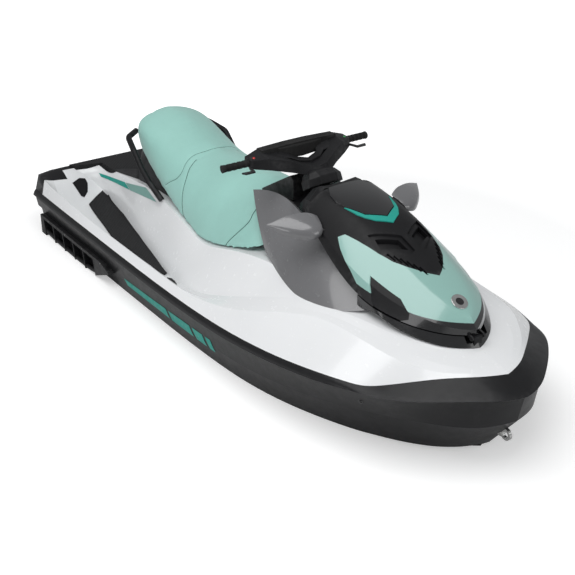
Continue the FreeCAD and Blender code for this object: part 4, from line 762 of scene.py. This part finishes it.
for name, side in SIDES.items():
    corner = [CORNER_FRONT, ((0, side * CORNER_Y, 0.5), (0, -side, 0))]
    skin_patch("stern_corner_" + name, "deck", corner, "hull_body", "black_hull", STERN_LIFT)
skin_patch("stern_face", "deck", STERN_FACE, "hull_body", "black_hull", STERN_LIFT)
skin_patch("rear_floor", "deck", REAR_FLOOR, "hull_body", "black_plastic", FLOOR_LIFT)


# Outer rim that closes the sponsons' bays, and the bolts of each sponson.
RIM = [(0.098, 0.300), (0.104, 0.246), (0.160, 0.222), (0.450, 0.214), (0.720, 0.217),
       (0.860, 0.244), (0.948, 0.290)]
RIM_Y, RIM_RADIUS = 0.611, 0.011
BOLT_X = (0.20, 0.42, 0.64, 0.86)
BOLT_Y, BOLT_Z = 0.6210, 0.309
BOLT_PROFILE = [(0.0065, -0.002), (0.0065, 0.0015), (0.005, 0.0028), (0.002, 0.0030)]

for name, side in SIDES.items():
    wire("sponson_rim_" + name, [place(x, side * RIM_Y, z) for x, z in RIM], RIM_RADIUS,
         "hull_body", "black_plastic")
    joined("sponson_bolts_" + name,
           [lathe("bolt", place(x, side * BOLT_Y, BOLT_Z), (0, side, 0), BOLT_PROFILE,
                  "hull_body", "stainless", steps=12) for x in BOLT_X])


# Faceted neck cover on the steering column. Each of its rings: height along the column, reach
# forward, reach of the shoulder, half width and reach aft.
COLUMN_TILT = math.radians(32)
COLUMN_FOOT = place(1.945, 0, 1.0)
ALONG_COLUMN = Vector((-math.sin(COLUMN_TILT), 0, math.cos(COLUMN_TILT)))
AHEAD = Vector((math.cos(COLUMN_TILT), 0, math.sin(COLUMN_TILT)))
NECK = [(-0.034, 0.080, 0.060, 0.094, -0.030), (0.004, 0.086, 0.070, 0.090, -0.032),
        (0.030, 0.064, 0.056, 0.072, -0.034), (0.044, 0.040, 0.040, 0.054, -0.034)]
NECK_FRONT = 0.045
EDGE_ROUND = 0.004


def ring_block(name, rings, body, material):
    """A faceted solid through rings with equal numbers of corners, its edges softly rounded."""
    built = ringed(rings)
    bmesh.ops.recalc_face_normals(built, faces=built.faces[:])
    item = piece(name, meshed(name, built), body, material, smooth=False)
    bevel = item.modifiers.new("edge", "BEVEL")
    bevel.width = EDGE_ROUND
    bevel.segments = 3
    bevel.limit_method = "ANGLE"
    return item


def neck_ring(height, front, shoulder, half, back):
    outline = [(front, -NECK_FRONT), (front, NECK_FRONT), (shoulder * 0.8, half),
               (back * 0.4, half), (back, half * 0.7), (back, -half * 0.7),
               (back * 0.4, -half), (shoulder * 0.8, -half)]
    centre = COLUMN_FOOT + ALONG_COLUMN * height
    return [centre + AHEAD * u + Vector((0, v, 0)) for u, v in outline]


ring_block("neck_cover", [neck_ring(*row) for row in NECK], "handlebar_body", "black_plastic")


# Web and pad core of the handlebar: the distance from the centreline, then the section there.
BAR_WEB = [(0.000, [(1.850, 1.040), (1.885, 1.035), (1.885, 1.078), (1.855, 1.080)]),
           (0.060, [(1.830, 1.050), (1.870, 1.045), (1.875, 1.085), (1.835, 1.092)]),
           (0.095, [(1.775, 1.082), (1.845, 1.060), (1.850, 1.098), (1.775, 1.112)]),
           (0.150, [(1.765, 1.074), (1.850, 1.062), (1.850, 1.104), (1.765, 1.118)]),
           (0.215, [(1.765, 1.074), (1.800, 1.072), (1.800, 1.112), (1.765, 1.116)])]
PAD_CORE = [(0.000, [(1.730, 1.080), (1.818, 1.074), (1.810, 1.130), (1.738, 1.132)]),
            (0.075, [(1.732, 1.084), (1.814, 1.078), (1.806, 1.129), (1.738, 1.131)]),
            (0.120, [(1.735, 1.094), (1.800, 1.090), (1.796, 1.128), (1.742, 1.130)])]


def across_block(name, table, body, material):
    """A faceted solid through four-cornered cross-sections, the same on both sides."""
    port_half = [row for row in table if row[0] > 0]
    sections = [(-across, corners) for across, corners in table[::-1]] + port_half
    rings = [[place(x, across, z) for x, z in corners] for across, corners in sections]
    return ring_block(name, rings, body, material)


across_block("bar_web", BAR_WEB, "handlebar_body", "black_plastic")
across_block("pad_core", PAD_CORE, "handlebar_body", "black_rubber")


# Switch collars on the bar beside the grips, each with one button.
GRIP_INNER = (1.781, 0.270, 1.086)
GRIP_OUTER = (1.763, 0.405, 1.078)
COLLAR_BACK = 0.030
COLLAR = [(0.0235, 0.0), (0.0255, 0.003), (0.0255, 0.023), (0.0235, 0.026), (0.0200, 0.027)]
BUTTON_BACK = 0.017
BUTTON_RISE = Vector((0.012, 0, 0.0205))
BUTTON_FACING = (0.5, 0, 0.86)
BUTTON = [(0.0065, -0.004), (0.0065, 0.003), (0.005, 0.0045), (0.001, 0.0048)]
BUTTON_COLOUR = {"starboard": "signal_red", "port": "signal_green"}

for name, side in SIDES.items():
    inner, outer = [place(x, side * y, z) for x, y, z in (GRIP_INNER, GRIP_OUTER)]
    axis = (outer - inner).normalized()
    lathe("switch_collar_" + name, inner - axis * COLLAR_BACK, axis, COLLAR, "handlebar_body",
          "black_plastic", steps=10)
    lathe("switch_button_" + name, inner - axis * BUTTON_BACK + BUTTON_RISE, BUTTON_FACING,
          BUTTON, "handlebar_body", BUTTON_COLOUR[name], steps=16)


# Plain domed cap with its ring on the nose of the hood.
NOSE_SPOT = place(2.912, 0, 0.795)
CAP_SINK, RING_SINK = 0.002, 0.001
CAP = [(0.034, 0.0), (0.034, 0.0035), (0.0315, 0.0048), (0.029, 0.0048), (0.027, 0.0038),
       (0.018, 0.0050), (0.008, 0.0056), (0.002, 0.0058)]
CAP_RING = [(0.0345, 0.0), (0.0360, 0.0010), (0.0360, 0.0030), (0.0345, 0.0040),
            (0.0335, 0.0040)]

spot, normal, _, _ = lid_tree.find_nearest(NOSE_SPOT)
lathe("nose_cap", spot - normal * CAP_SINK, normal, CAP, "lid_body", "black_gloss", steps=40)
lathe("nose_cap_ring", spot - normal * RING_SINK, normal, CAP_RING, "lid_body", "stainless",
      steps=40)


# Floor at the waterline and a plain background that shows white.
FLOOR_REACH = 14
FLOOR_LEVEL = 0.80
NEAR_GLOW, FAR_GLOW = 0.40, 1.0
FADE_FROM, FADE_TO = 1.9, 3.6
SKY_STRENGTH = 0.36
SKY_TINT = (0.97, 0.985, 1, 1)
PLAIN_WHITE = (1, 1, 1, 1)


def emptied(owner):
    """The node tree of a material or world, with nothing in it."""
    owner.use_nodes = True
    owner.node_tree.nodes.clear()
    return Graph(owner.node_tree)


def floor_material(name):
    """Matt pale floor with a painted glow that only the camera sees, weak near the craft and
    rising to white away from it.
    """
    material = bpy.data.materials.new(name)
    g = emptied(material)
    diffuse = g.add("ShaderNodeBsdfDiffuse", {"Color": (FLOOR_LEVEL,) * 3 + (1,)})
    reach = g.add("ShaderNodeVectorMath", operation="LENGTH")
    g.join(g.add("ShaderNodeTexCoord").outputs["Object"], reach.inputs[0])
    # Painted light: the glow grows with distance, so the floor near the craft is painted darker.
    fade = g.add("ShaderNodeMapRange", {"From Min": FADE_FROM, "From Max": FADE_TO,
                                        "To Min": NEAR_GLOW, "To Max": FAR_GLOW})
    g.join(reach.outputs["Value"], fade.inputs["Value"])
    seen = g.add("ShaderNodeMath", operation="MULTIPLY")
    g.join(g.add("ShaderNodeLightPath").outputs["Is Camera Ray"], seen.inputs[0])
    g.join(fade.outputs["Result"], seen.inputs[1])
    glow = g.add("ShaderNodeEmission")
    g.join(seen.outputs[0], glow.inputs["Strength"])
    both = g.add("ShaderNodeAddShader")
    g.join(diffuse.outputs[0], both.inputs[0])
    g.join(glow.outputs[0], both.inputs[1])
    g.join(both.outputs[0], g.add("ShaderNodeOutputMaterial").inputs["Surface"])
    return material


def add_floor():
    mesh = bpy.data.meshes.new("floor")
    corners = [(-1, -1), (1, -1), (1, 1), (-1, 1)]
    mesh.from_pydata([(x * FLOOR_REACH, y * FLOOR_REACH, 0) for x, y in corners], [],
                     [(0, 1, 2, 3)])
    floor = bpy.data.objects.new("floor", mesh)
    bpy.context.scene.collection.objects.link(floor)
    mesh.materials.append(floor_material("floor_white"))


def add_world():
    """Soft light all round, and plain white where the camera sees past the floor."""
    world = bpy.data.worlds.new("studio")
    bpy.context.scene.world = world
    g = emptied(world)
    light = g.add("ShaderNodeBackground", {"Strength": SKY_STRENGTH, "Color": SKY_TINT})
    seen = g.add("ShaderNodeBackground", {"Strength": 1.0, "Color": PLAIN_WHITE})
    mix = g.add("ShaderNodeMixShader")
    g.join(g.add("ShaderNodeLightPath").outputs["Is Camera Ray"], mix.inputs["Fac"])
    g.join(light.outputs[0], mix.inputs[1])
    g.join(seen.outputs[0], mix.inputs[2])
    g.join(mix.outputs[0], g.add("ShaderNodeOutputWorld").inputs["Surface"])


def add_lamp(name, spot, aim, width, height, power):
    data = bpy.data.lights.new(name, "AREA")
    data.shape = "RECTANGLE"
    data.size = width
    data.size_y = height
    data.energy = power
    aimed(bpy.data.objects.new(name, data), spot, aim)


add_floor()
add_world()
add_lamp("key", spot=(0.5, -1.5, 5.0), aim=(0, 0, 0.3), width=5.5, height=4.0, power=175)
add_lamp("side", spot=(1.5, -5.5, 2.2), aim=(0, 0, 0.4), width=4.5, height=2.0, power=55)
add_lamp("bow", spot=(5.5, 1.5, 2.5), aim=(0.5, 0, 0.5), width=3.0, height=2.0, power=40)
bpy.context.scene.view_settings.view_transform = "Standard"
